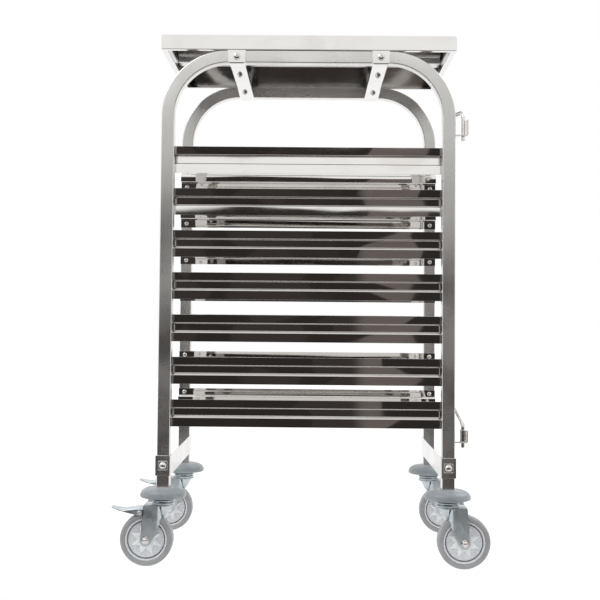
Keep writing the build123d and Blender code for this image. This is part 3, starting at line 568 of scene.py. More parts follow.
def finish(name):
    """Returns a finish by its name, made the first time that it is asked for."""
    made = bpy.data.materials.get(f"{name}_finish")
    if made:
        return made
    s = bpy.context.scene.trolley_finish
    makers = {
        "polished_stainless": (polished_steel, s.steel, s.polish),
        "bright_sheet": (polished_steel, s.steel, s.sheet_polish),
        "brushed_stainless": (brushed_steel, s.steel, s.brush),
        "stainless_rod": (rod_steel, s.steel),
        "bright_fixings": (bright_fixing, s.steel),
        "zinc_plated_steel": (plated_zinc, s.zinc),
        "bumper_rubber": (rubber, s.bumper, 1400.0, 0.25, 0.8),
        "tyre_rubber": (rubber, s.tyre, 1100.0, 0.35),
        "insert_plastic": (rubber, s.plug, 1200.0, 0.2),
        # One moulded plastic in two copies: the ring and disc get the hub colour darkened to 0.84
        # as painted shade, and the stars get it lightened to 1.07 as a painted highlight.
        "hub_plastic": (hub_plastic, tinted(s.hub, (0.84, 0.84, 0.85))),
        "hub_stars": (hub_plastic, tinted(s.hub, (1.07, 1.07, 1.07))),
    }
    maker, *values = makers[name]
    return maker(name, *values)


def middle(node):
    """The middle of a CAD node's box."""
    low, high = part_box(node)
    return (low + high) / 2


def leg_xs():
    """The X of the left and right legs' middles."""
    low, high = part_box("side_frame_front")
    half = (high.y - low.y) / 2
    return low.x + half, high.x - half


class Castor:
    """Where one castor's pieces stand, read from its nodes."""

    def __init__(self, corner):
        s = bpy.context.scene.trolley_castor
        self.corner = corner
        self.stem = middle(f"castor_stem_{corner}")
        self.axis = Vector((self.stem.x, self.stem.y, 0))
        self.wheel = middle(f"tyre_{corner}")
        self.out = 1 if self.wheel.x > self.stem.x else -1
        self.trail = abs(self.wheel.x - self.stem.x)
        low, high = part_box(f"tyre_{corner}")
        self.radius, self.half_width = (high.z - low.z) / 2, (high.y - low.y) / 2
        self.tyre_top = self.wheel.z + self.radius
        low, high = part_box(f"axle_{corner}")
        self.bolt_half = (high.y - low.y) / 2
        self.fork_half = self.bolt_half - s.nut_height - s.bolt_end
        self.braked = f"brake_pedal_{corner}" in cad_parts

    def behind(self, back, side, height):
        """A point that far behind the stem's axis, to the side of the middle, and above Z 0."""
        return Vector((self.stem.x + self.out * back, self.stem.y + side, height))


# ---- pieces ------------------------------------------------------------------------------
class TROLLEY_OT_side_frames(bpy.types.Operator):
    """Builds the two bent square tubes"""
    bl_idname = "trolley.side_frames"
    bl_label = "Side Frames"

    def execute(self, context):
        s = context.scene.trolley_frame
        for place in PLACES:
            low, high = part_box(f"side_frame_{place}")
            half, y = (high.y - low.y) / 2, (high.y + low.y) / 2
            path = rounded([(low.x + half, y, low.z), (low.x + half, y, high.z - half),
                            (high.x - half, y, high.z - half), (high.x - half, y, low.z)],
                           s.bend_radius, 28)
            outer = sweep(path, box_ring(half, half, s.tube_corner), Y)
            inner = sweep(path, box_ring(half - s.tube_wall, half - s.tube_wall,
                                         s.tube_corner - s.tube_wall), Y)
            tube = Shape()
            tube.skin(outer + inner[::-1], loop=True)
            tube.piece(f"{place}_bent_tube", "brushed_stainless", "frame", f"side_frame_{place}")
        return {"FINISHED"}


class TROLLEY_OT_runners(bpy.types.Operator):
    """Builds the folded pan runners"""
    bl_idname = "trolley.runners"
    bl_label = "Runners"

    def execute(self, context):
        s = context.scene.trolley_frame
        for node in RUNNERS:
            place, level = node.split("_")[1:]
            inward = -PLACES[place]
            low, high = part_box(node)
            web = low.y if inward > 0 else high.y
            depth = high.y - low.y - s.sheet
            ledge_top = high.z - s.upper_web
            ledge_low = ledge_top - s.ledge_height
            face_top, face_low = ledge_top - s.ledge_slope / 2, ledge_low + s.ledge_slope
            line = rounded([(0, high.z, 0), (s.web_lean, ledge_top, 0), (depth, face_top, 0),
                            (depth, face_low, 0), (s.web_lean, ledge_low, 0), (0, low.z, 0)],
                           s.fold_radius, 5)
            outline = sheet_outline(line, s.sheet)
            rail = Shape()
            rail.skin([[Vector((x, web + inward * p.x, p.y)) for p in outline]
                       for x in (low.x, high.x)])
            rail.piece(f"{place}_rail_{level}", "polished_stainless", "frame", node,
                       bevel=s.sheet_edge, angle=44)
        return {"FINISHED"}


class TROLLEY_OT_runner_screws(bpy.types.Operator):
    """Builds the domed screws that hold the runners to the legs"""
    bl_idname = "trolley.runner_screws"
    bl_label = "Runner Screws"

    def execute(self, context):
        s, fixing = context.scene.trolley_frame, context.scene.trolley_fixing
        head = dome(fixing.screw_radius, fixing.screw_height, fixing.socket)
        for place, outward in PLACES.items():
            screws = Shape()
            for node in RUNNERS:
                if place not in node:
                    continue
                low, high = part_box(node)
                y = low.y + s.sheet if outward < 0 else high.y - s.sheet
                for x in leg_xs():
                    for z in (high.z - s.upper_web / 2, low.z + s.lower_web / 2):
                        screws.turned(head, (x, y, z), Y * -outward, 24)
            screws.piece(f"{place}_rail_screws", "bright_fixings", "frame",
                         f"runner_screws_{place}")
        return {"FINISHED"}


class TROLLEY_OT_shelf(bpy.types.Operator):
    """Builds the folded top shelf"""
    bl_idname = "trolley.shelf"
    bl_label = "Top Shelf"

    def execute(self, context):
        s = context.scene.trolley_frame
        low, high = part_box("shelf_top")
        centre, half = (low + high) / 2, (high - low) / 2
        fold, wall, flange = s.fold_radius, s.sheet, s.shelf_flange
        section = [(flange, high.z)]
        section += arc((fold, high.z - fold), (fold, fold), 90, 180, 5)
        section += arc((fold, low.z + fold), (fold, fold), 180, 270, 5)
        section += [(flange, low.z), (flange, low.z + wall), (wall, low.z + wall),
                    (wall, high.z - wall), (flange, high.z - wall)]
        rows = []
        for inset, z in section:
            corner = max(0.0004, s.shelf_corner - inset * 0.3)
            rows.append([Vector((centre.x + a, centre.y + b, z))
                         for a, b in box_ring(half.x - inset, half.y - inset, corner)])
        tray = Shape()
        tray.skin(rows, across=True)
        tray.piece("folded_shelf", "bright_sheet", "frame", "shelf_top",
                   slot="brushed_stainless")
        return {"FINISHED"}


class TROLLEY_OT_stiffener(bpy.types.Operator):
    """Builds the hat section under the shelf"""
    bl_idname = "trolley.stiffener"
    bl_label = "Shelf Stiffener"

    def execute(self, context):
        s = context.scene.trolley_frame
        low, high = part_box("shelf_stiffener")
        left, right = low.y + s.hat_flange, high.y - s.hat_flange
        line = rounded([(low.y, high.z, 0), (left, high.z, 0), (left, low.z + s.sheet, 0),
                        (right, low.z + s.sheet, 0), (right, high.z, 0), (high.y, high.z, 0)],
                       s.hat_fold)
        outline = sheet_outline(line[::-1], s.sheet)
        hat = Shape()
        hat.skin([[Vector((x, p.x, p.y)) for p in outline] for x in (low.x, high.x)])
        hat.piece("shelf_hat_section", "brushed_stainless", "frame", "shelf_stiffener",
                  bevel=s.sheet_edge)
        return {"FINISHED"}


class TROLLEY_OT_cross_bars(bpy.types.Operator):
    """Builds the channels under the top tubes"""
    bl_idname = "trolley.cross_bars"
    bl_label = "Cross Bars"

    def execute(self, context):
        s = context.scene.trolley_frame
        for side in SIDES:
            node = f"top_cross_bar_{side}"
            low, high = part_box(node)
            x, wide, narrow = (low.x + high.x) / 2, (high.x - low.x) / 2, s.bar_width / 2
            tube_gap = 0.001
            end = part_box("side_frame_rear")[0].y - tube_gap
            floor, top = low.z + s.bar_sheet / 2, low.z + s.bar_sheet + s.bar_side
            line = rounded([(low.y, high.z, 0), (low.y, low.z, 0), (high.y, low.z, 0),
                            (high.y, high.z, 0)], s.bar_sheet * 1.4)
            outline = sheet_outline(line, s.bar_sheet)
            bar = Shape()
            rows = []
            for edge in (-1, 1):
                row = []
                for p in outline:
                    lift = min(1.0, max(0.0, (p.y - low.z) / (s.bar_sheet * 1.5)))
                    row.append(Vector((x + edge * (narrow + (wide - narrow) * lift), p.x, p.y)))
                rows.append(row)
            bar.skin(rows)
            for edge in (-1, 1):
                outer, inner = x + edge * narrow, x + edge * (narrow - s.bar_sheet)
                bar.block((min(outer, inner), -end, floor), (max(outer, inner), end, top))
            bar.piece(f"{side}_cross_channel", "bright_sheet", "frame", node,
                      slot="brushed_stainless", bevel=0.0007)
        return {"FINISHED"}


class TROLLEY_OT_lower_braces(bpy.types.Operator):
    """Builds the folded strips between the legs' feet, with their raised bolt frames"""
    bl_idname = "trolley.lower_braces"
    bl_label = "Lower Braces"

    def execute(self, context):
        s = context.scene.trolley_frame
        for leg, (side, out) in zip(leg_xs(), SIDES.items()):
            node = f"lower_brace_{side}"
            low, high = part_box(node)
            y_low, y_high = low.y + s.emboss_height, high.y - s.emboss_height
            root, tip = (low.x, high.x) if out > 0 else (high.x, low.x)
            line = rounded([(tip, y_low, 0), (root, y_low, 0), (root, y_high, 0), (tip, y_high, 0)],
                           s.brace_sheet * 1.5)
            outline = sheet_outline(line if out < 0 else line[::-1], s.brace_sheet)
            strip = Shape()
            strip.skin([[Vector((p.x, p.y, z)) for p in outline] for z in (low.z, high.z)],
                       across=True)
            mid = (low.z + high.z) / 2
            for face, outward in ((y_low, -1), (y_high, 1)):
                rows = []
                for i in range(9):
                    inset = s.emboss_rim * (1 - math.cos(math.pi * i / 8)) / 2
                    height = s.emboss_height * outward * math.sin(math.pi * i / 8)
                    half = s.emboss / 2 - inset
                    rows.append([Vector((leg + a, face + height, mid + b))
                                 for a, b in box_ring(half, half, max(0.0005, 0.002 - inset))])
                strip.skin(rows, ends=False)
            strip.piece(f"{side}_foot_brace", "brushed_stainless", "frame", node,
                        bevel=s.sheet_edge)
        return {"FINISHED"}


class TROLLEY_OT_outer_bolts(bpy.types.Operator):
    """Builds the domed bolts through the cross bars' and braces' ends"""
    bl_idname = "trolley.outer_bolts"
    bl_label = "Outer Bolts"

    def execute(self, context):
        fixing = context.scene.trolley_fixing
        head = dome(fixing.bolt_radius, fixing.bolt_height, fixing.socket * 1.5, 9)
        bars = [middle(f"top_cross_bar_{side}").x for side in SIDES]
        for node, xs in (("cross_bar_bolts", bars), ("brace_bolts", leg_xs())):
            low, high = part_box(node)
            bolts = Shape()
            for x in xs:
                for y, outward in ((low.y, -1), (high.y, 1)):
                    seat = y - outward * fixing.bolt_height
                    bolts.turned(head, (x, seat, (low.z + high.z) / 2), Y * outward, 40)
            bolts.piece(f"{node[:-6]}_dome_bolts", "bright_fixings", "frame", node)
        return {"FINISHED"}


class TROLLEY_OT_shelf_studs(bpy.types.Operator):
    """Builds the shelf's studs and the cap nuts under the cross bars"""
    bl_idname = "trolley.shelf_studs"
    bl_label = "Shelf Studs"

    def execute(self, context):
        fixing = context.scene.trolley_fixing
        low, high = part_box("shelf_studs")
        studs = Shape()
        for side in SIDES:
            bar = middle(f"top_cross_bar_{side}")
            for y in (low.y + fixing.nut_radius, high.y - fixing.nut_radius):
                seat = low.z + fixing.nut_height
                studs.turned([(0, 0), (fixing.stud_radius, 0), (fixing.stud_radius, high.z - seat),
                              (0, high.z - seat)], (bar.x, y, seat), Z, 20)
                cap_nut(studs, Vector((bar.x, y, seat)), Z * -1, fixing.nut_radius,
                        fixing.nut_height)
        studs.piece("shelf_stud_nuts", "bright_fixings", "frame", "shelf_studs")
        return {"FINISHED"}


def hexagon(radius, limit, steps=8):
    """A hexagon of (a, b) pairs whose corners are turned down to a limit."""
    ring = []
    for i in range(6 * steps):
        angle = 2 * math.pi * i / (6 * steps)
        within = (angle + math.pi / 6) % (math.pi / 3) - math.pi / 6
        reach = min(radius * math.cos(math.pi / 6) / math.cos(within), limit)
        ring.append((reach * math.cos(angle), reach * math.sin(angle)))
    return ring


def nut(shape, seat, axis, radius, height, bore=0.0):
    """A hexagon nut or bolt head that stands on its seat, with its corners chamfered."""
    side = axis.orthogonal().normalized()
    other = axis.cross(side)
    rows = []
    levels = [(0, 0.965), (0.06, 1.0), (0.66, 1.0), (0.80, 0.95), (0.92, 0.85), (1.0, 0.68)]
    for level, limit in levels:
        rows.append([seat + axis * height * level + side * a + other * b
                     for a, b in hexagon(radius, radius * limit)])
    if bore:
        for level in (1.0, 0.0):
            rows.append([seat + axis * height * level + side * a + other * b
                         for a, b in circle_ring(bore, 48)])
    shape.skin(rows, loop=bool(bore), across=True)


def cap_nut(shape, seat, axis, radius, height):
    """A domed nut: hexagon flats below, a round cap above."""
    nut(shape, seat, axis, radius, height * 0.5)
    waist = radius * 0.78
    cap = arc((0, height * 0.1), (waist, height * 0.48), 0, 90, 8)[:-1]
    shape.turned([(0, 0), (waist, 0), *cap, (0, height * 0.58)], seat + axis * height * 0.42,
                 axis, 32)


class TROLLEY_OT_retaining_bar(bpy.types.Operator):
    """Builds the swinging rod, its collar and the two ears that carry it"""
    bl_idname = "trolley.retaining_bar"
    bl_label = "Retaining Bar"

    def execute(self, context):
        s = context.scene.trolley_gate
        low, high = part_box("gate_bar")
        r = s.rod_radius
        ears = {end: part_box(f"gate_ear_{end}") for end in ("top", "bottom")}
        pivot = Vector((high.x - r, low.y + r, 0))
        bar = Vector((low.x + r, high.y - r, 0))
        foot = ears["bottom"][0].z + s.slope_foot
        points = [pivot + Z * (ears["top"][0].z - s.pin_length), pivot + Z * (high.z - r),
                  bar + Z * (high.z - r), bar + Z * (foot + s.slope_height), pivot + Z * foot,
                  pivot + Z * low.z]
        path = rounded(points, [s.corner_bend, s.corner_bend, s.slope_bend, s.slope_bend], 12)
        rod = Shape()
        rod.skin(sweep(path, circle_ring(r, 24), Y))
        rod.piece("swing_rod", "stainless_rod", "gate", "gate_bar", bevel=0.0006)
        low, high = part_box("gate_collar")
        outer, tall, edge = (high.x - low.x) / 2, high.z - low.z, s.collar_round
        sleeve = Shape()
        sleeve.ring([(r, 0), (outer - edge, 0), (outer, edge), (outer, tall - edge),
                     (outer - edge, tall), (r, tall)], pivot + Z * low.z, Z, 40)
        sleeve.piece("rod_collar", "stainless_rod", "gate", "gate_collar")
        for end, (low, high) in ears.items():
            line = rounded([(low.x, low.z, 0), (high.x, low.z, 0), (high.x, high.z, 0)],
                           s.ear_fold)
            outline = sheet_outline(line, s.ear_sheet)
            ear = Shape()
            ear.skin([[Vector((p.x, y, p.y)) for p in outline] for y in (low.y, high.y)])
            ear.piece(f"{end}_rod_ear", "brushed_stainless", "frame", f"gate_ear_{end}",
                      bevel=0.0008)
        return {"FINISHED"}


class TROLLEY_OT_bumpers(bpy.types.Operator):
    """Builds the rubber bumper discs"""
    bl_idname = "trolley.bumpers"
    bl_label = "Bumpers"

    def execute(self, context):
        s = context.scene.trolley_castor
        for corner in CORNERS:
            low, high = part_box(f"bumper_{corner}")
            radius, tall = (high.x - low.x) / 2, high.z - low.z
            bore, edge, seat = s.stem_radius + 0.0001, s.bumper_edge, s.bumper_seat
            groove, rise = 0.0006, edge * 7 / 6
            centre = middle(f"bumper_{corner}")
            centre.z = low.z
            profile = [(bore, 0.0), (radius * 0.80, 0.0), (radius * 0.82, groove),
                       (radius * 0.90, groove), (radius - edge, 0.0)]
            profile += arc((radius - edge, rise), (edge, rise), -90, 0, 6)[1:]
            profile += [(radius - s.bumper_draft * 0.6, tall * 0.36),
                        (radius - s.bumper_draft * 2.2, tall * 0.385)]
            reach = radius - s.bumper_draft * 2.4 - seat
            profile += arc((seat, tall * 0.40), (reach, tall * 0.60), 0, 90, 16)[1:]
            profile.append((bore, tall))
            disc = Shape()
            disc.ring(profile, centre, Z, 96)
            disc.piece(f"{corner}_bumper_disc", "bumper_rubber", "frame", f"bumper_{corner}")
        return {"FINISHED"}


class TROLLEY_OT_castor_stems(bpy.types.Operator):
    """Builds the threaded stems with their upper races"""
    bl_idname = "trolley.castor_stems"
    bl_label = "Castor Stems"

    def execute(self, context):
        s = context.scene.trolley_castor
        for corner in CORNERS:
            low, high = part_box(f"castor_stem_{corner}")
            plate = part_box(f"bumper_{corner}")[0].z
            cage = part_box("ball_cages")[1].z
            stem, disc, race, chamfer = s.stem_radius, s.plate_radius, s.race_radius, 0.0012
            profile = [(0, high.z), (stem - 0.001, high.z), (stem, high.z - 0.001),
                       (stem, plate)]
            drops = ((disc - 0.0004, 0), (disc, 0.0004), (disc, 0.0021), (disc - 0.0005, 0.0026),
                     (s.neck_radius, 0.0027), (s.neck_radius, 0.0041), (race - chamfer, 0.0043),
                     (race, 0.0050), (race + 0.0003, 0.0058))
            profile += [(radius, plate - drop) for radius, drop in drops]
            head, thick = stem + 0.004, 0.004
            profile += [(race, cage + 0.0009), (race - chamfer, cage), (stem, cage),
                        (stem, low.z + thick), (head, low.z + thick),
                        (head, low.z + 0.0008), (head - 0.0008, low.z), (0, low.z)]
            turning = Shape()
            turning.turned(profile, Castor(corner).axis)
            turning.piece(f"{corner}_stem_race", "zinc_plated_steel", "frame",
                          f"castor_stem_{corner}")
        return {"FINISHED"}


class TROLLEY_OT_forks(bpy.types.Operator):
    """Builds the pressed forks with their crowns, races, skirts and pedal rivets"""
    bl_idname = "trolley.forks"
    bl_label = "Forks"

    def execute(self, context):
        s = context.scene.trolley_castor
        for corner in CORNERS:
            castor = Castor(corner)
            race_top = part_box(f"fork_{corner}")[1].z
            crown = race_top - s.crown_drop
            fork = Shape()
            self.channel(fork, castor, s, crown)
            fork.piece(f"{corner}_fork_arms", "zinc_plated_steel", f"swivel_{corner}",
                       f"fork_{corner}", bevel=0.0005, solid=s.fork_sheet)
            top = Shape()
            self.crown(top, castor, s, crown, race_top)
            top.piece(f"{corner}_fork_crown", "zinc_plated_steel", f"swivel_{corner}",
                      bevel=0.0004)
        return {"FINISHED"}

    def channel(self, fork, castor, s, crown):
        """The outside face of the U-shaped plate, row by row up from the arms' feet."""
        half, front, bend = castor.fork_half, s.fork_front, s.fork_corner
        axle, lobe, trail = castor.wheel.z, s.fork_lobe, castor.trail
        web_low = crown - s.web_height
        # The arm's outline, as (behind the stem's axis, height): its foot is round the axle, its
        # front edge rises from the toe over the knee to the web, its back edge from the heel.
        knee = (trail - lobe * 1.53, axle + 0.008)
        toe = (trail - lobe * 0.95, axle - 0.003)
        heel = (trail + lobe * 0.98, axle - 0.002)
        behind, curl = 0.06, 0.0022
        straight = behind - front - bend

        def front_edge(z):
            if z < toe[1]:
                return trail - math.sqrt(max(0.0, lobe ** 2 - (z - axle) ** 2))
            if z < knee[1]:
                return toe[0] + (knee[0] - toe[0]) * (z - toe[1]) / (knee[1] - toe[1])
            return max(front, knee[0] + (front - knee[0]) * (z - knee[1]) / (web_low - knee[1]))

        def back_edge(z):
            if z < heel[1]:
                return trail + math.sqrt(max(0.0, lobe ** 2 - (z - axle) ** 2))
            return heel[0] + (s.fork_back - heel[0]) * (z - heel[1]) / (crown - heel[1])

        def along(distance, inset):
            """A plan point, that far forward from a line behind the fork, round its corner."""
            radius = bend - inset
            if distance <= straight:
                return behind - distance, half - inset
            angle = min(math.pi / 2, (distance - straight) / radius)
            past = max(0.0, distance - straight - radius * math.pi / 2)
            return (front + bend - radius * math.sin(angle),
                    half - bend + radius * math.cos(angle) - past)

        def reach(x):
            """How far forward along the plan line an edge at x lies."""
            if x >= front + bend:
                return behind - x
            return straight + bend * math.asin(min(1.0, (front + bend - x) / bend))

        def drawn_in(z):
            """How far the plate curves in just below the crown."""
            return max(0.0, curl - (crown - z)) * 0.6

        heights = [axle - lobe * math.cos(math.pi / 2 * i / 8) for i in range(9)]
        heights = [z for z in heights if z < toe[1] - 0.0004] + [toe[1]]
        heights += [toe[1] + (knee[1] - toe[1]) * i / 3 for i in (1, 2, 3)]
        heights += [knee[1] + (web_low - knee[1]) * i / 8 for i in range(1, 9)]
        top = crown - 0.0016
        heights += [web_low + (top - web_low) * i / 5 for i in range(1, 6)]
        columns = 16
        for side in (-1, 1):
            rows = []
            for z in heights:
                inset = drawn_in(z)
                first, last = reach(back_edge(z)), reach(front_edge(z))
                row = []
                for j in range(columns + 1):
                    x, y = along(first + (last - first) * j / columns, inset)
                    row.append(castor.behind(x, side * y, z))
                rows.append(row)
            fork.skin(rows, closed=False)
        web = []
        edge = half - bend
        for z in [web_low] + [z for z in heights if z > web_low + 0.0001]:
            web.append([castor.behind(front + drawn_in(z), edge * (1 - 2 * j / 6), z)
                        for j in range(7)])
        fork.skin(web, closed=False)
        bmesh.ops.remove_doubles(fork.mesh, verts=fork.mesh.verts, dist=0.00004)

    def crown(self, top, castor, s, crown, race_top):
        """The crown plate, the lower race, the skirt and, on a braked castor, the rivets."""
        half, sheet, race, bore = castor.fork_half, s.fork_sheet, s.race_radius, 0.012
        under, corner = crown - sheet, half - 0.0008
        outline = [(s.fork_back, -corner), *arc((0, 0), (half, half), -90, -270, 24),
                   (s.fork_back, corner)]
        top.slab([castor.behind(a, b, under) for a, b in outline], Z * sheet)
        top.ring([(bore, crown - 0.0005), (race - 0.001, crown - 0.0005), (race, crown + 0.0008),
                  (race, race_top - 0.0012), (race - 0.001, race_top - 0.0002),
                  (race - 0.0035, race_top), (bore, race_top)], castor.axis)
        slope = [(s.skirt_top, under), (s.skirt_low, under - s.skirt_height)]
        slope += [(radius - sheet, z) for radius, z in slope[::-1]]
        rows = [[castor.behind(a, b, z)
                 for a, b in arc((s.fork_front, 0), (radius, radius), 90, 270, 24)]
                for radius, z in slope]
        top.skin([list(row) for row in zip(*rows)])
        if castor.braked:
            height = castor.tyre_top + s.pivot_rise
            rivet, eye, root = s.pin_radius * 1.35, 0.0065, castor.out * -0.008
            head = [(0, 0.0019)] + [(rivet * math.sin(a), 0.0004 + 0.0015 * math.cos(a))
                                    for a in (0.5, 0.9, 1.25, 1.57)]
            for side in (-1, 1):
                seat = castor.behind(s.pivot_back, side * half * 0.98, height)
                top.turned([*head, (rivet, -0.001), (0, -0.001)], seat, Y * side, 28)
                ear = castor.behind(s.pivot_back, side * half, height)
                plate = [ear + Vector((castor.out * a, 0, b))
                         for a, b in arc((0, 0), (eye, eye), -90, 90, 16)]
                plate += [ear + Vector((root, 0, eye)), ear + Vector((root, 0, -eye))]
                top.slab(plate, Y * (-side * sheet))


class TROLLEY_OT_axles(bpy.types.Operator):
    """Builds the wheel bolts with their hexagon heads and nuts"""
    bl_idname = "trolley.axles"
    bl_label = "Wheel Bolts"

    def execute(self, context):
        s = context.scene.trolley_castor
        for corner in CORNERS:
            castor = Castor(corner)
            reach, r = castor.bolt_half, s.axle_radius
            bolt = Shape()
            end = [(0, -reach), *arc((0, r * 0.4 - reach), (r, r * 0.4), -90, 0, 6)[1:]]
            bolt.turned(end + [(radius, -height) for radius, height in end[::-1]],
                        castor.wheel, Y, 32)
            washer = s.nut_radius * 1.08
            for side in (-1, 1):
                seat = castor.wheel + Y * side * castor.fork_half
                bolt.turned([(0, 0), (washer, 0), (washer, s.washer), (0, s.washer)],
                            seat, Y * side, 40)
                nut(bolt, seat + Y * side * s.washer, Y * side, s.nut_radius,
                    s.nut_height - s.washer)
            bolt.piece(f"{corner}_wheel_bolt", "bright_fixings", f"swivel_{corner}",
                       f"axle_{corner}", bevel=0.00015)
        return {"FINISHED"}


class TROLLEY_OT_hubs(bpy.types.Operator):
    """Builds the moulded hubs with their eight-tipped stars"""
    bl_idname = "trolley.hubs"
    bl_label = "Wheel Hubs"

    def execute(self, context):
        s = context.scene.trolley_castor
        for corner in CORNERS:
            castor = Castor(corner)
            low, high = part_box(f"wheel_hub_{corner}")
            radius, bore = castor.radius - s.tyre_depth, s.boss_radius
            rim, disc, boss = castor.half_width - 0.0015, s.hub_disc / 2, (high.y - low.y) / 2
            inner, sunk = radius - s.hub_rim, disc - 0.0060
            half = [(radius, rim - 0.0006), (radius - 0.0006, rim), (inner + 0.0008, rim),
                    (inner, rim - 0.0008), (inner - 0.0002, sunk),
                    (inner - s.hub_groove, sunk), (inner - s.hub_groove - 0.0004, disc),
                    (bore + 0.002, disc), (bore, disc + 0.001), (bore - 0.0004, boss - 0.0006),
                    (bore - 0.001, boss), (s.axle_radius + 0.0001, boss)]
            wheel = Shape()
            wheel.ring([(r, -h) for r, h in half[::-1]] + half, castor.wheel, Y, 96)
            wheel.piece(f"{corner}_moulded_hub", "hub_plastic", f"wheel_{corner}",
                        f"wheel_hub_{corner}", bevel=0.0004, angle=30)
            # The stars wear a lighter copy of the hub's own plastic, a painted highlight, while the
            # hub wears a darker copy as painted shade.
            stars = Shape()
            for side in (-1, 1):
                self.star(stars, castor.wheel + Y * side * (disc - 0.0001), side, s)
            stars.piece(f"{corner}_hub_stars", "hub_stars", f"wheel_{corner}",
                        slot="hub_plastic", bevel=0.0003, angle=14)
        return {"FINISHED"}

    def star(self, wheel, centre, side, s):
        """A raised star with sloping sides and a lower middle."""
        rows = []
        tips = s.star_tips
        for tip, notch, height in ((1.0, 1.0, 0.0), (0.94, 0.95, s.star_height * 0.3),
                                   (0.60, 0.78, s.star_height), (0.30, 0.56, s.star_height)):
            row = []
            for i in range(2 * tips):
                reach = s.star_outer * tip if i % 2 else s.star_inner * notch
                angle = math.pi * i / tips - math.pi / 2
                row.append(centre + Vector((reach * math.cos(angle), side * height,
                                            reach * math.sin(angle))))
            rows.append(row)
        wheel.skin(rows)


class TROLLEY_OT_tyres(bpy.types.Operator):
    """Builds the rubber tyres with their mould line"""
    bl_idname = "trolley.tyres"
    bl_label = "Tyres"

    def execute(self, context):
        s = context.scene.trolley_castor
        for corner in CORNERS:
            castor = Castor(corner)
            radius, half, shoulder = castor.radius, castor.half_width, s.tyre_round
            inner = radius - s.tyre_depth
            side = [(inner, half - 0.0022), (inner + 0.0006, half - 0.0013),
                    (inner + 0.0018, half - 0.0006)]
            side += arc((radius - shoulder, half - shoulder), (shoulder, shoulder), 90, 0, 7)
            side += [(radius, 0.0006), (radius - 0.0002, 0.0002)]
            outline = side + [(r, -y) for r, y in side[::-1]]
            ring = Shape()
            ring.ring(outline, castor.wheel, Y, 120)
            ring.piece(f"{corner}_rubber_tyre", "tyre_rubber", f"wheel_{corner}", f"tyre_{corner}")
        return {"FINISHED"}


class TROLLEY_OT_pedals(bpy.types.Operator):
    """Builds the pressed brake pedals"""
    bl_idname = "trolley.pedals"
    bl_label = "Brake Pedals"

    def execute(self, context):
        s = context.scene.trolley_castor
        for corner in CORNERS:
            castor = Castor(corner)
            if not castor.braked:
                continue
            plate = Shape()
            plate.skin(self.rows(castor, s), closed=False)
            plate.piece(f"{corner}_foot_pedal", "zinc_plated_steel", f"pedal_{corner}",
                        f"brake_pedal_{corner}", bevel=0.0004, solid=s.pedal_sheet, even=False)
            pad = Shape()
            front, back = s.pad_start, s.pad_end
            ring = [(front, 0.0075), (front, -0.0012), (back, -0.0022), (back, 0.0072)]
            pad.skin([[castor.behind(x, side * s.pad_half, castor.tyre_top + z)
                       for x, z in ring] for side in (-1, 1)])
            pad.piece(f"{corner}_brake_pad", "tyre_rubber", f"pedal_{corner}", bevel=0.0008)
        return {"FINISHED"}

    def rows(self, castor, s):
        """Sections across the pedal: flange, fold, tread, fold and flange."""
        low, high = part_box(f"brake_pedal_{castor.corner}")
        half = (high.y - low.y) / 2
        reach = max(abs(low.x - castor.stem.x), abs(high.x - castor.stem.x))
        spine = rounded([(s.pedal_start, 0, s.pedal_rise), (s.pedal_flat, 0, s.pedal_rise),
                         (s.pedal_heel, 0, s.pedal_dip), (reach, 0, s.pedal_tip)],
                        [0.030, 0.014], 6)
        rows = []
        for station in spine:
            back, top = station.x, station.z
            if back < s.pivot_back:
                depth = 0.6 + 0.4 * (back - s.pedal_start) / (s.pivot_back - s.pedal_start)
            else:
                depth = 1 - ((back - s.pivot_back) / (s.pedal_heel - s.pivot_back)) ** 3
            drop = max(0.0006, s.pedal_flange * depth)
            edge, bend = top - drop, min(s.pedal_fold, drop * 0.8)
            narrow = max(0.0, back - s.pedal_heel) / (reach - s.pedal_heel)
            width = half * (1 - 0.55 * narrow ** 1.5)
            line = [(width, edge), (width, (edge + top - bend) / 2)]
            line += arc((width - bend, top - bend), (bend, bend), 0, 90, 4)
            line += [((width - bend) * 0.5, top), (0.0, top)]
            whole = line + [(-y, z) for y, z in line[-2::-1]]
            rows.append([castor.behind(back, y, castor.tyre_top + z) for y, z in whole])
        return rows


class TROLLEY_OT_hidden_pieces(bpy.types.Operator):
    """Gives the CAD plugs and ball cages their finishes"""
    bl_idname = "trolley.hidden_pieces"
    bl_label = "Plugs and Cages"

    def execute(self, context):
        for node, name in (("leg_inserts", "insert_plastic"), ("ball_cages", "bright_fixings")):
            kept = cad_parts[node]
            kept.data.materials.clear()
            kept.data.materials.append(finish(name))
        return {"FINISHED"}


